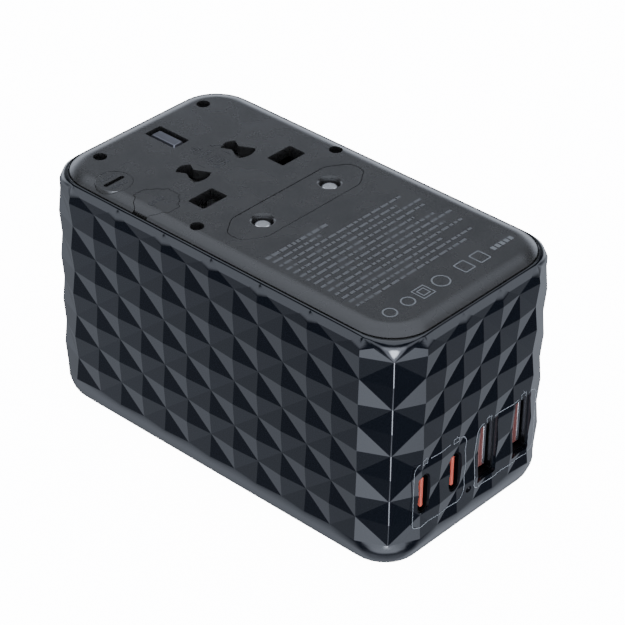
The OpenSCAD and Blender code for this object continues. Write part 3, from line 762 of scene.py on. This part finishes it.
def hexagon(g=0.0):
    """Long eight-sided outline of the EU block, grown by g."""
    quarter = [(1.7, -17.5), (4.6, -13.2)]
    corners = quarter + [(x, -y) for x, y in reversed(quarter)]
    corners += [(-x, -y) for x, y in quarter] + [(-x, y) for x, y in reversed(quarter)]
    loop = softened([(EU_X + x, y) for x, y in corners], 1.1)
    return grown(loop, g)


def fuse_outline(g=0.0):
    """Flap of the main fuse: flat to the rim side, scalloped elsewhere."""
    half = [(1.75, -4.3), (1.9, -3.9), (3.1, -3.1), (3.9, -1.75), (4.65, -1.6)]
    half += [(4.65, 1.6), (3.9, 1.75), (3.1, 3.1), (1.9, 3.9), (1.6, 4.6)]
    loop = [(FUSE.x + x, FUSE.y + y) for x, y in half]
    loop += [(FUSE.x - x, FUSE.y + y) for x, y in reversed(half)]
    return grown(softened(loop, 0.2, 2), g)


def plug_profile():
    """Inset and height of the cover's outer edge, an arc from its side up to the flat face."""
    radius, width, steps = 5, 3.35, 6
    rings = [(0.0, 51.6)]
    for i in range(steps + 1):
        run = width * (1 - i / steps)
        rings.append((width - run, FACE_Z - (radius - math.sqrt(radius * radius - run * run))))
    return rings


def plug_plate():
    bm = bmesh.new()
    hx, hy = high("plug_cover").x, high("plug_cover").y
    loft(bm, [at_height(rounded(hx - d, hy - d, 9.05 - d, 12), z) for d, z in plug_profile()])
    return bm


def plug_openings():
    parts = []

    def hole(loop, z0=50.0, z1=56.0):
        parts.append(prism(loop, z0, z1))

    for s in (-1, 1):
        hole(rounded(2.15, 3.3, 0.3, 3, x=UK_X, y=s * UK_Y))
        hole(bow_tie(s))
    hole(rounded(4.15, 2.15, 0.3, 3, x=EARTH_X, y=0))
    hole(hexagon(0.14))
    hole(fuse_outline(0.12))
    hole(circle(SPARE.x, SPARE.y, SPARE_R + 0.07, 48))
    for x, y in SCREWS:
        hole(circle(x, y, 1.4, 28), 52.4)
    return joined(*parts)


def build_plug_cover():
    cover = subtract(plug_plate(), plug_openings())
    notch = prism(rounded(1.9, 1.6, 0.2, 2, x=FUSE.x, y=-HALF_W + 1.3), 52.2, 56)
    piece("plug_face", subtract(cover, notch), "casing", "plug_cover", bevel=0.1)


def build_fuse_flap():
    """The plate inside the flap's outline, on the round plug that holds the fuse."""
    outline = prism(fuse_outline(), 50, 56)
    flap = combined(plug_plate(), outline, "INTERSECT")
    holder = prism(circle(FUSE.x, FUSE.y, 3.15, 32), 44, 51.9, 0.2)
    whole = joined(flap, holder)
    piece("fuse_flap", whole, "fuse_carrier", "fuse_cover", bevel=0.08)


def build_spare_cap():
    bm = prism(circle(SPARE.x, SPARE.y, SPARE_R, 48), 51, FACE_Z, 0.12)
    slot = prism(rounded(0.48, 2.6, 0.4, 4, x=SPARE.x, y=SPARE.y), FACE_Z - 0.9, 56)
    piece("spare_cap_disc", subtract(bm, slot), "spare_cap", "spare_fuse_cap")


def build_screws():
    parts = []
    for x, y in SCREWS:
        crown = [(1.2, 52.5), (1.25, 52.7), (1.25, 53.0), (1.12, 53.22), (0.85, 53.38), (0.45, 53.47)]
        head = turned(x, y, crown, 28)
        cross = bmesh.new()
        for hx, hy in ((0.8, 0.2), (0.2, 0.8)):
            bar = prism(box_loop(x - hx, x + hx, y - hy, y + hy), 52.95, 54)
            bmesh.ops.rotate(bar, cent=(x, y, 0), matrix=Matrix.Rotation(0.5, 3, "Z"), verts=bar.verts)
            cross = joined(cross, bar)
        parts.append(subtract(head, cross))
        parts.append(turned(x, y, ((0.2, 42), (0.8, 43), (0.8, 52.4)), 16))
    piece("screws", joined(*parts), "casing", "cover_screws")


def build_eu_block():
    bm = prism(hexagon(), 35.5, FACE_Z)
    flange = prism(hexagon(0.7), 33.2, 35.49)
    holes = bmesh.new()
    for s in (-1, 1):
        loft(holes, [at_height(circle(EU_X, s * EU_Y, r, 40), z)
                     for r, z in ((EU_HOLE_R, 30), (EU_HOLE_R, FACE_Z - 0.35), (2.45, FACE_Z), (2.45, 56))])
    piece("eu_slab", subtract(bm, holes), "eu_block_body", "eu_block", bevel=0.09)
    sunk = bmesh.new()
    for s in (-1, 1):
        upright(sunk, circle(EU_X, s * EU_Y, EU_HOLE_R, 40), 30, 40)
    piece("eu_slab_flange", subtract(flange, sunk), "eu_block_body")


def build_eu_pins():
    """Round pins with a domed tip and a waist under their sleeves."""
    eu, sleeves = bmesh.new(), bmesh.new()
    for s in (-1, 1):
        tip = [(1.68, 9), (1.68, 44.2), (1.97, 44.4), (2.0, 52.3)]
        tip += [(2.0 - 0.9 * (1 - math.cos(math.radians(a))), 52.3 + 0.85 * math.sin(math.radians(a)))
                for a in (18, 36, 54, 72, 90)]
        loft(eu, [at_height(circle(EU_X, s * EU_Y, r, 32), z) for r, z in tip])
        tube = [(1.72, 13), (1.95, 13.1), (2.0, 13.3), (2.0, 43.9), (1.95, 44.15), (1.72, 44.2)]
        loft(sleeves, [at_height(circle(EU_X, s * EU_Y, r, 32), z) for r, z in tube])
    piece("eu_round_pins", eu, "eu_plug", "eu_pins")
    piece("eu_round_sleeves", sleeves, "eu_plug", "eu_pin_sleeves")


def build_uk_pins():
    """Line and neutral pins with sleeves, and the longer earth pin."""
    uk, jackets = bmesh.new(), bmesh.new()
    for s in (-1, 1):
        x, y = UK_X, s * UK_Y
        rings = [(0, 24.0), (0, 27.8), (0.12, 27.95), (0.12, 39.4), (0, 39.6), (0, 46.6)]
        rings += [(0.25, 47.2), (0.7, 47.8), (1.2, 48.15)]
        loft(uk, [at_height(rounded(2.0 - d, 3.175 - d, 0.25, 3, x, y), z) for d, z in rings])
        loft(jackets, [at_height(rounded(2.0 - d, 3.175 - d, 0.3, 3, x, y), z)
                       for d, z in ((0.05, 27.92), (0, 28.05), (0, 39.35), (0.05, 39.48))])
    piece("uk_flat_pins", uk, "uk_plug", "uk_line_neutral_pins")
    piece("uk_flat_sleeves", jackets, "uk_plug", "uk_pin_sleeves")
    earth = bmesh.new()
    top = high("uk_earth_pin").z
    rings = [(0, 24), (0, top - 1.2), (0.05, top - 1.1), (0.85, top - 0.12), (1.0, top)]
    loft(earth, [at_height(rounded(4.0 - d, 2.0 - d, 0.3, 3, EARTH_X, 0), z) for d, z in rings])
    piece("uk_long_pin", earth, "uk_plug", "uk_earth_pin")


def build_us_blades():
    """Flat blades with a chamfered tip and the hole near it."""
    for side in ("left", "right"):
        x, y = middle("us_%s_blade" % side).x, middle("us_%s_blade" % side).y
        half = [(3.17, 29.6), (3.17, 50.3), (1.9, 51.95)]
        outline = [(x - 3.17, 29.6)] + [(x + h, z) for h, z in half]
        outline += [(x - h, z) for h, z in reversed(half[1:])]
        blade = prism(outline, -0.75, 0.75, 0.16, 2)
        eye = prism(circle(x, 45.6, 1.55, 28), -2, 2)
        made = along_y(subtract(blade, eye), y)
        piece("us_%s_flat" % side, made, "us_%s_pin" % side, "us_%s_blade" % side)


# ---- sliders on the +Y side --------------------


def build_sliders():
    for plug in KNOBS:
        knob, button = plug + "_slider_knob", plug + "_lock_button"
        x, z = middle(button).x, middle(button).z
        outer = high(knob).y
        body = bmesh.new()
        loop = rounded(4.0, 4.5, 0.9, 5, x=x, y=z)
        upright(body, loop, 23.8, outer, 0.28)
        grooves = []
        for k in (-1, 1):
            for i in range(3):
                bar = prism(rounded(2.9, 0.22, 0.2, 3, x=x, y=z + k * (2.25 + 0.75 * i)), outer - 0.3, 27)
                grooves.append(bar)
        well = prism(circle(x, z, BUTTON_WELL_R, 28), 23, 27)
        grooves.append(well)
        head = along_y(subtract(body, joined(*grooves)), 0)
        neck = prism(rounded(2.0, 3.0, 0.5, 4, x=x, y=z), low(knob).y, 23.9)
        bore = prism(circle(x, z, BUTTON_WELL_R, 28), 22, 27)
        stem = along_y(subtract(neck, bore), 0)
        arm = prism(box_loop(x - 2, x + 2, z - 3, high(knob).z), low(knob).y, 22.3)
        whole = joined(head, stem, along_y(arm, 0))
        piece(plug + "_knob", whole, plug + "_plug", knob)
        crown = [(1.5, 24.0), (1.53, 24.1), (1.53, 24.6), (1.42, 24.78), (1.1, 24.88), (0.5, 24.94)]
        push = turned(x, z, crown, 28)
        piece(plug + "_button", along_y(push, 0), plug + "_lock", button)
        coil = helix(3.2, 0.12, 1.1, 1.7)
        placed = shifted(along_y(coil, 22.14), (x, 0, z))
        made = piece(plug + "_coil", placed, plug + "_plug", plug + "_lock_spring")
        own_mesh(made)


def helix(turns, wire, r, length, sides=8, per_turn=20):
    """Round wire wound about Z, its ends closed."""
    bm = bmesh.new()
    rings = []
    n = int(turns * per_turn)
    for i in range(n + 1):
        a = 2 * math.pi * i / per_turn
        out = Vector((math.cos(a), math.sin(a), 0))
        centre = out * r + Vector((0, 0, wire + (length - 2 * wire) * i / n))
        rings.append([centre + wire * (out * math.cos(b) + Vector((0, 0, math.sin(b))))
                      for b in (2 * math.pi * k / sides for k in range(sides))])
    loft(bm, rings)
    return bm


def shifted(bm, by):
    bmesh.ops.translate(bm, vec=by, verts=bm.verts)
    return bm


# ---- socket face --------------------


def build_socket_cover():
    bm = bmesh.new()
    hx, hy = high("socket_cover").x, high("socket_cover").y
    rings = []
    for i in range(8):
        a = math.radians(90 * i / 7)
        rings.append((1.75 * (1 - math.sin(a)), 1.35 * (1 - math.cos(a))))
    rings.append((0.0, 3.1))
    loft(bm, [at_height(rounded(hx - d, hy - d, 8.6 - d, 12), z) for d, z in rings])
    for s in (-1, 1):
        mouth = softened(box_loop(UK_X - 2.25, UK_X + 2.25, s * UK_Y - 3.45, s * UK_Y + 3.45), 0.3, 2)
        eu_hole = circle(UK_X, s * EU_Y, 2.6, 40)
        us_slot = rounded(3.5, 0.95, 0.2, 2, x=UK_X, y=s * US_Y)
        for loop in (mouth, eu_hole, us_slot):
            part = prism(loop, -1, 5)
            bm = subtract(bm, part)
    centre = bmesh.new()
    for loop in (rounded(4.3, 2.3, 0.3, 3, x=EARTH_X, y=0), circle(UK_X - 11.9, 0, 2.55, 40)):
        upright(centre, loop, -1, 5)
    face = subtract(bm, centre)
    rails = bmesh.new()
    for s in (-1, 1):
        upright(rails, box_loop(-27, -12.5, s * 18.9 - 0.35, s * 18.9 + 0.35), 3.0, 6.2)
    upright(rails, box_loop(-32.8, -31.8, 15.2, 18.6), 3.0, 6.6)
    piece("socket_face", joined(face, rails), "casing", "socket_cover", bevel=0.14)


def build_shutter_spring():
    coil = helix(7, 0.2, 0.95, 13.2)
    placed = shifted(along_x(coil, 0), (-31.55, 16.9, 4.85))
    made = piece("shutter_coil", placed, "casing", "shutter_spring")
    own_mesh(made)


# ---- USB ports --------------------


def tube_x(outer, inner, x0, x1, back):
    """Tube along X between two outlines in (z, y), closed at the back."""
    bm = prism(outer, 0, x1 - x0)
    hollow = prism(inner, back, x1 - x0 + 3)
    return along_x(subtract(bm, hollow), x0)


def port_bar(outline, x0, x1, edge=0.0):
    """Bar along X from x0 to x1 with an outline in (z, y)."""
    return along_x(prism(outline, x0 - PORT_BACK, x1 - PORT_BACK, edge), PORT_BACK)


def build_usb_c():
    """Two cans with rounded mouths, the tongues and their contact strips."""
    cans, tongues, leaves = [], [], []
    for y in C_PORTS:
        outer = rounded(4.42, 1.55, 1.54, 8, PORT_Z, y)
        inner = rounded(4.17, 1.3, 1.29, 8, PORT_Z, y)
        cans.append(tube_x(outer, inner, PORT_BACK, C_MOUTH, 1))
        tongues.append(port_bar(rounded(3.35, 0.35, 0.12, 3, PORT_Z, y), PORT_BACK + 1, C_MOUTH - 0.25, 0.1))
        for s in (-1, 1):
            for i in range(6):
                z = PORT_Z + (i - 2.5) * 0.95
                strip = box_loop(z - 0.14, z + 0.14, y + s * 0.352 - 0.02, y + s * 0.352 + 0.02)
                leaves.append(port_bar(strip, PORT_BACK + 1, A_MOUTH - 1.5))
    piece("usb_c_cans", joined(*cans), "casing", "usb_c_shells")
    piece("usb_c_blades", joined(*tongues), "casing", "usb_c_tongues")
    return leaves


def build_usb_a():
    """Two oblong cans, the tongues with their bright ends, contacts and side springs."""
    cans, tongues, leaves, ends = [], [], [], []
    for y in A_PORTS:
        outer = rounded(6.5, 2.8, 0.5, 4, PORT_Z, y)
        inner = rounded(6.2, 2.5, 0.3, 4, PORT_Z, y)
        cans.append(tube_x(outer, inner, PORT_BACK, A_MOUTH, 1))
        tongue = rounded(5.6, 0.9, 0.12, 3, PORT_Z, y + 1.1)
        tongues.append(port_bar(tongue, PORT_BACK + 1, A_MOUTH - 1.2, 0.12))
        for i in range(4):
            contact = rounded(0.5, 0.05, 0.03, 2, PORT_Z + (i - 1.5) * 2.3, y + 2.03)
            leaves.append(port_bar(contact, PORT_BACK + 1, A_MOUTH - 2.0))
        for i in (-1, 1):
            spring = rounded(1.1, 0.16, 0.1, 2, PORT_Z + i * 3.1, y - 2.3)
            leaves.append(port_bar(spring, PORT_BACK + 6, A_MOUTH - 1.6, 0.05))
        edge = rounded(5.4, 0.36, 0.1, 3, PORT_Z, y + 1.62)
        ends.append(port_bar(edge, A_MOUTH - 1.3, A_MOUTH - 1.14, 0.04))
    piece("usb_a_cans", joined(*cans), "casing", "usb_a_shells")
    piece("usb_a_blades", joined(*tongues), "casing", "usb_a_tongues")
    piece("usb_a_ends", joined(*ends), "casing", slot="eu_pin_metal")
    return leaves


def build_ports():
    """USB sockets, near-black plates in them that paint the shade deep in the ports, and the light pipe
    between the pairs.
    """
    leaves = build_usb_c() + build_usb_a()
    piece("usb_leaves", joined(*leaves), "casing", slot="contact_brass")
    backs = [rounded(4.1, 1.25, 1.2, 6, PORT_Z, y) for y in C_PORTS]
    backs += [rounded(6.15, 2.45, 0.3, 6, PORT_Z, y) for y in A_PORTS]
    # Thin plates inside the cans, darker than the black plastic: painted shade for the ports' depth.
    dark = [port_bar(loop, PORT_BACK + 1.0, PORT_BACK + 1.3) for loop in backs]
    piece("port_backs", joined(*dark), "casing", slot="epoxy_black", finish=PORT_SHADE_BLACK)
    pipe = turned(LED_Z, LED_Y, ((0.7, 0), (0.7, 11.4), (0.62, 11.55), (0.35, 11.64)), 20)
    piece("pipe", along_x(pipe, low("light_pipe").x), "casing", "light_pipe")


# ---- printed marks --------------------


def end_print(probe):
    """Light outlines round the two pairs of ports, laid on the facets."""
    bm = bmesh.new()

    def on_wall(y, z):
        """Point just proud of the wall; where an opening lies behind, the wall is bridged."""
        hit = probe.ray_cast(Vector((60, y, z)), Vector((-1, 0, 0)))[0]
        return Vector((max(HALF_L - 0.1, min(hit.x + 0.02, HALF_L + RISE)), y, z))

    def stroke(points, width):
        for a, b in zip(points, points[1:]):
            a, b = Vector(a), Vector(b)
            n = max(1, int((b - a).length / 0.35))
            side = Vector((-(b - a).y, (b - a).x)).normalized() * width / 2
            last = None
            for i in range(n + 1):
                p = a.lerp(b, i / n)
                pair = [bm.verts.new(on_wall(*(p + side))), bm.verts.new(on_wall(*(p - side)))]
                if last:
                    bm.faces.new((last[0], pair[0], pair[1], last[1]))
                last = pair

    line, fine = 0.17, 0.15
    frames = ((-18.0, -3.2, 9.0, 23.9, C_PORTS), (-0.3, 18.2, 8.9, 23.6, A_PORTS))
    for y0, y1, z0, z1, gaps in frames:
        loop = rounded((y1 - y0) / 2, (z1 - z0) / 2, 1.6, 5, (y0 + y1) / 2, (z0 + z1) / 2)
        top = z1 - 0.01
        for a, b in zip(loop, loop[1:] + loop[:1]):
            if a[1] > top and b[1] > top:
                lo, hi = sorted((a[0], b[0]))
                stops = [lo] + [v for g in gaps for v in (g - 1.6, g + 1.6)] + [hi]
                for k in range(0, len(stops), 2):
                    stroke([(stops[k], z1), (stops[k + 1], z1)], line)
            else:
                stroke([a, b], line)
        for g in gaps:
            below, above = z1 - 0.5, z1 + 0.6
            plug = [(g - 0.7, below), (g - 0.7, above), (g + 0.7, above), (g + 0.7, below)]
            stroke(plug + plug[:1], fine)
            stroke([(g, above), (g, z1 + 1.1)], fine)
    piece("end_marks", bm, "casing", finish=PRINT_GREY, smooth=0)


def bar(bm, x, y0, y1, width):
    bm.faces.new(ring(bm, at_height(box_loop(x - width / 2, x + width / 2, y0, y1), MARK_Z)))


def outline_mark(bm, outer, inner):
    """Flat band between two outlines of the same count."""
    skin(bm, ring(bm, at_height(outer, MARK_Z)), ring(bm, at_height(inner, MARK_Z)))


def square_mark(bm, x, y, half, line, r):
    outline_mark(bm, rounded(half, half, r, 1, x, y), rounded(half - line, half - line, r * 0.8, 1, x, y))


def face_text():
    """Rows of short bars in place of the small print; the heading row is the thickest."""
    bm = bmesh.new()
    start, pitch, first = -19.0, 1.72, 9.4
    lengths = (17, 13, 34, 31, 36, 35, 30, 34, 37, 33, 36, 28, 35, 31)
    for row, length in enumerate(lengths):
        x = first + pitch * row
        y = start
        while y < start + length:
            word = random.uniform(0.7, 2.6)
            bar(bm, x, y, min(y + word, start + length), 0.62 if row else 0.85)
            y += word + random.uniform(0.3, 0.45)
    piece("face_text", bm, "casing", finish=TEXT_GREY, smooth=0)


def face_print():
    """A row of plain rings, squares and bars beside the small print."""
    bm = bmesh.new()
    x = 37.6
    for y, r in ((-16.5, 1.5), (-11.5, 1.5), (-2.2, 1.9)):
        outline_mark(bm, circle(x, y, r, 32), circle(x, y, r - 0.32, 32))
    for half in (1.7, 1.0):
        square_mark(bm, x, -7.2, half, 0.25, 0.1)
    for y in (4.5, 9.0):
        outline_mark(bm, rounded(1.7, 1.5, 0.3, 2, x, y), rounded(1.4, 1.2, 0.2, 2, x, y))
    y = 12.6
    while y < 18:
        bar(bm, x, y, y + 0.9, 1.2)
        y += 1.25
    piece("face_marks", bm, "casing", finish=PRINT_GREY, smooth=0)


def face_deboss():
    """Painted shade of the debossed marks between the blade openings, and on the flap and the spare cap:
    flat dark marks in place of their recesses.
    """
    bm = bmesh.new()
    outline_mark(bm, circle(-27.8, 0.3, 1.15, 28), circle(-27.8, 0.3, 0.95, 28))
    outline_mark(bm, rounded(0.35, 0.6, 0.1, 2, -27.8, 0.3), rounded(0.2, 0.45, 0.08, 2, -27.8, 0.3))
    for half in (1.3, 0.8):
        square_mark(bm, -22.6, 0.3, half, 0.17, 0.05)
    words = {-25.5: ((-1.2, -0.2), (0.1, 0.9), (1.2, 2.0)), -20.4: ((-1.8, -0.6), (-0.3, 0.6), (0.9, 2.0))}
    for x, spans in words.items():
        for y0, y1 in spans:
            bar(bm, x, y0, y1, 0.75)
    ticks = ((-28.1, -3.0, -27.9, -2.2), (-27.1, 3.6, -25.2, 5.4), (-27.1, 3.6, -26.2, 3.7),
             (-23.8, 3.95, -21.9, 4.1), (-23.8, -3.45, -21.95, -3.35))
    for x0, y0, x1, y1 in ticks:
        way = Vector((x1 - x0, y1 - y0)).normalized()
        side = Vector((-way.y, way.x)) * 0.11
        corners = [(x0 - side.x, y0 - side.y), (x1 - side.x, y1 - side.y), (x1 + side.x, y1 + side.y),
                   (x0 + side.x, y0 + side.y)]
        bm.faces.new(ring(bm, at_height(corners, MARK_Z)))
    piece("face_hints", bm, "casing", finish=DEBOSS_SHADOW, smooth=0)
    flap = bmesh.new()
    for i in range(4):
        bar(flap, FUSE.x, FUSE.y - 1.9 + i * 1.05, FUSE.y - 1.2 + i * 1.05, 1.15)
    piece("flap_hints", flap, "fuse_carrier", finish=DEBOSS_SHADOW, smooth=0)
    cap = bmesh.new()
    for dx in (-1.75, 1.75):
        for i in range(4):
            bar(cap, SPARE.x + dx, SPARE.y - 1.9 + i, SPARE.y - 1.25 + i, 0.8)
    piece("cap_hints", cap, "spare_cap", finish=DEBOSS_SHADOW, smooth=0)


# ---- stage --------------------


def build_stage():
    """Pale floor that turns up into a round backdrop; it is left out of reflections."""
    bm = bmesh.new()
    flat, bend, height = 3.0, 2.0, 6.0
    profile = [(0.3, 0), (1.5, 0), (flat, 0)]
    for degrees in range(10, 91, 10):
        a = math.radians(degrees)
        profile.append((flat + bend * math.sin(a), bend - bend * math.cos(a)))
    profile.append((flat + bend, height))
    rings = [ring(bm, [Vector((x, y, z)) for x, y in circle(0, 0, r, 64)]) for r, z in profile]
    for inner, outer in zip(rings, rings[1:]):
        skin(bm, inner, outer)
    bm.faces.new(rings[0])
    bmesh.ops.recalc_face_normals(bm, faces=bm.faces)
    mesh = bpy.data.meshes.new("floor")
    bm.to_mesh(mesh)
    bm.free()
    mesh.polygons.foreach_set("use_smooth", [True] * len(mesh.polygons))
    floor = bpy.data.objects.new("floor", mesh)
    bpy.context.scene.collection.objects.link(floor)
    floor.location.z = -0.0005
    mesh.materials.append(finish_of("floor_paper", (0.86, 0.86, 0.87), 0.9, grain=60, mottle=0.01,
                                    bump=0.02, glow=16.0))
    floor.visible_glossy = False
    floor.visible_diffuse = False
    floor.visible_shadow = False


def build_lights():
    """Studio room: its brightness is a sum of soft steps along a few directions, plus two weak lamps."""
    world = bpy.data.worlds.new("studio")
    bpy.context.scene.world = world
    world.use_nodes = True
    tree = world.node_tree
    back = tree.nodes["Background"]
    place = tree.nodes.new("ShaderNodeTexCoord")

    def towards(direction, start, end, first, last, kind="SMOOTHSTEP"):
        """Goes from first to last as the way looked at turns towards direction."""
        dot = tree.nodes.new("ShaderNodeVectorMath")
        dot.operation = "DOT_PRODUCT"
        dot.inputs[1].default_value = direction
        tree.links.new(place.outputs["Generated"], dot.inputs[0])
        ramp = tree.nodes.new("ShaderNodeMapRange")
        ramp.interpolation_type = kind
        for key, value in zip(("From Min", "From Max", "To Min", "To Max"), (start, end, first, last)):
            ramp.inputs[key].default_value = value
        tree.links.new(dot.outputs["Value"], ramp.inputs["Value"])
        return ramp.outputs["Result"]

    def total(a, b):
        add = tree.nodes.new("ShaderNodeMath")
        add.operation = "ADD"
        tree.links.new(a, add.inputs[0])
        tree.links.new(b, add.inputs[1])
        return add.outputs["Value"]

    up = Vector((0, 0, 1))
    behind = Vector((-1.5, 1.2, -1.4))
    beyond = towards(behind, 0.33, 1.63, 0.0, 1.75, "LINEAR")
    fold = towards(behind, 1.5, 2.3, 0.0, -1.2)
    horizon = towards(up, -0.3, 0.05, 0.0, 3.4)
    above = towards(up, 0.20, 0.42, 0.0, -3.5)
    zenith = towards(up, 0.6, 0.78, 0.0, 4.2)
    box_way = Vector((0.727, -0.654, -0.208)).normalized()
    soft_box = towards(box_way, 0.70, 0.86, 0.0, 5.6)
    core = towards(box_way, 0.93, 0.985, 0.0, 44.0)
    underneath = towards(Vector((0.456, -0.411, -0.789)), 0.78, 0.90, 0.0, 0.55)
    strength = total(beyond, fold)
    for part in (horizon, above, zenith, soft_box, core, underneath):
        strength = total(strength, part)
    tree.links.new(strength, back.inputs["Strength"])
    back.inputs["Color"].default_value = (0.43, 0.465, 0.53, 1.0)
    lamps = (("key", (-0.35, 0.25, 0.75), 0.6, 0.12), ("fill", (0.6, 0.35, 0.5), 0.5, 0.08))
    for name, spot, size, power in lamps:
        lamp = bpy.data.lights.new(name, "AREA")
        lamp.size = size
        lamp.energy = power
        thing = bpy.data.objects.new(name, lamp)
        thing.location = spot
        thing.rotation_euler = (Vector((0, 0, 0.02)) - Vector(spot)).to_track_quat("-Z", "Y").to_euler()
        bpy.context.scene.collection.objects.link(thing)


def build_camera():
    """Camera at the photo's viewing angle, about 34 degrees above the floor."""
    lens = bpy.data.cameras.new("view")
    lens.lens = 149.36
    lens.sensor_width = 36
    camera = bpy.data.objects.new("view", lens)
    spot = Vector((0.2854, -0.3133, 0.3160))
    right = Vector((0.7383, 0.6744, 0.0125))
    up = Vector((-0.3864, 0.4077, 0.8273))
    back = Vector((0.5529, -0.6156, 0.5616))
    turn = Matrix((right, up, back)).transposed()
    camera.matrix_world = Matrix.Translation(spot) @ turn.to_4x4()
    bpy.context.scene.collection.objects.link(camera)
    bpy.context.scene.camera = camera


wall_probe = build_shell()
build_plug_cover()
build_fuse_flap()
build_spare_cap()
build_screws()
build_eu_block()
build_eu_pins()
build_uk_pins()
build_us_blades()
build_sliders()
build_socket_cover()
build_shutter_spring()
build_ports()
end_print(wall_probe)
face_text()
face_print()
face_deboss()
build_stage()
build_lights()
build_camera()
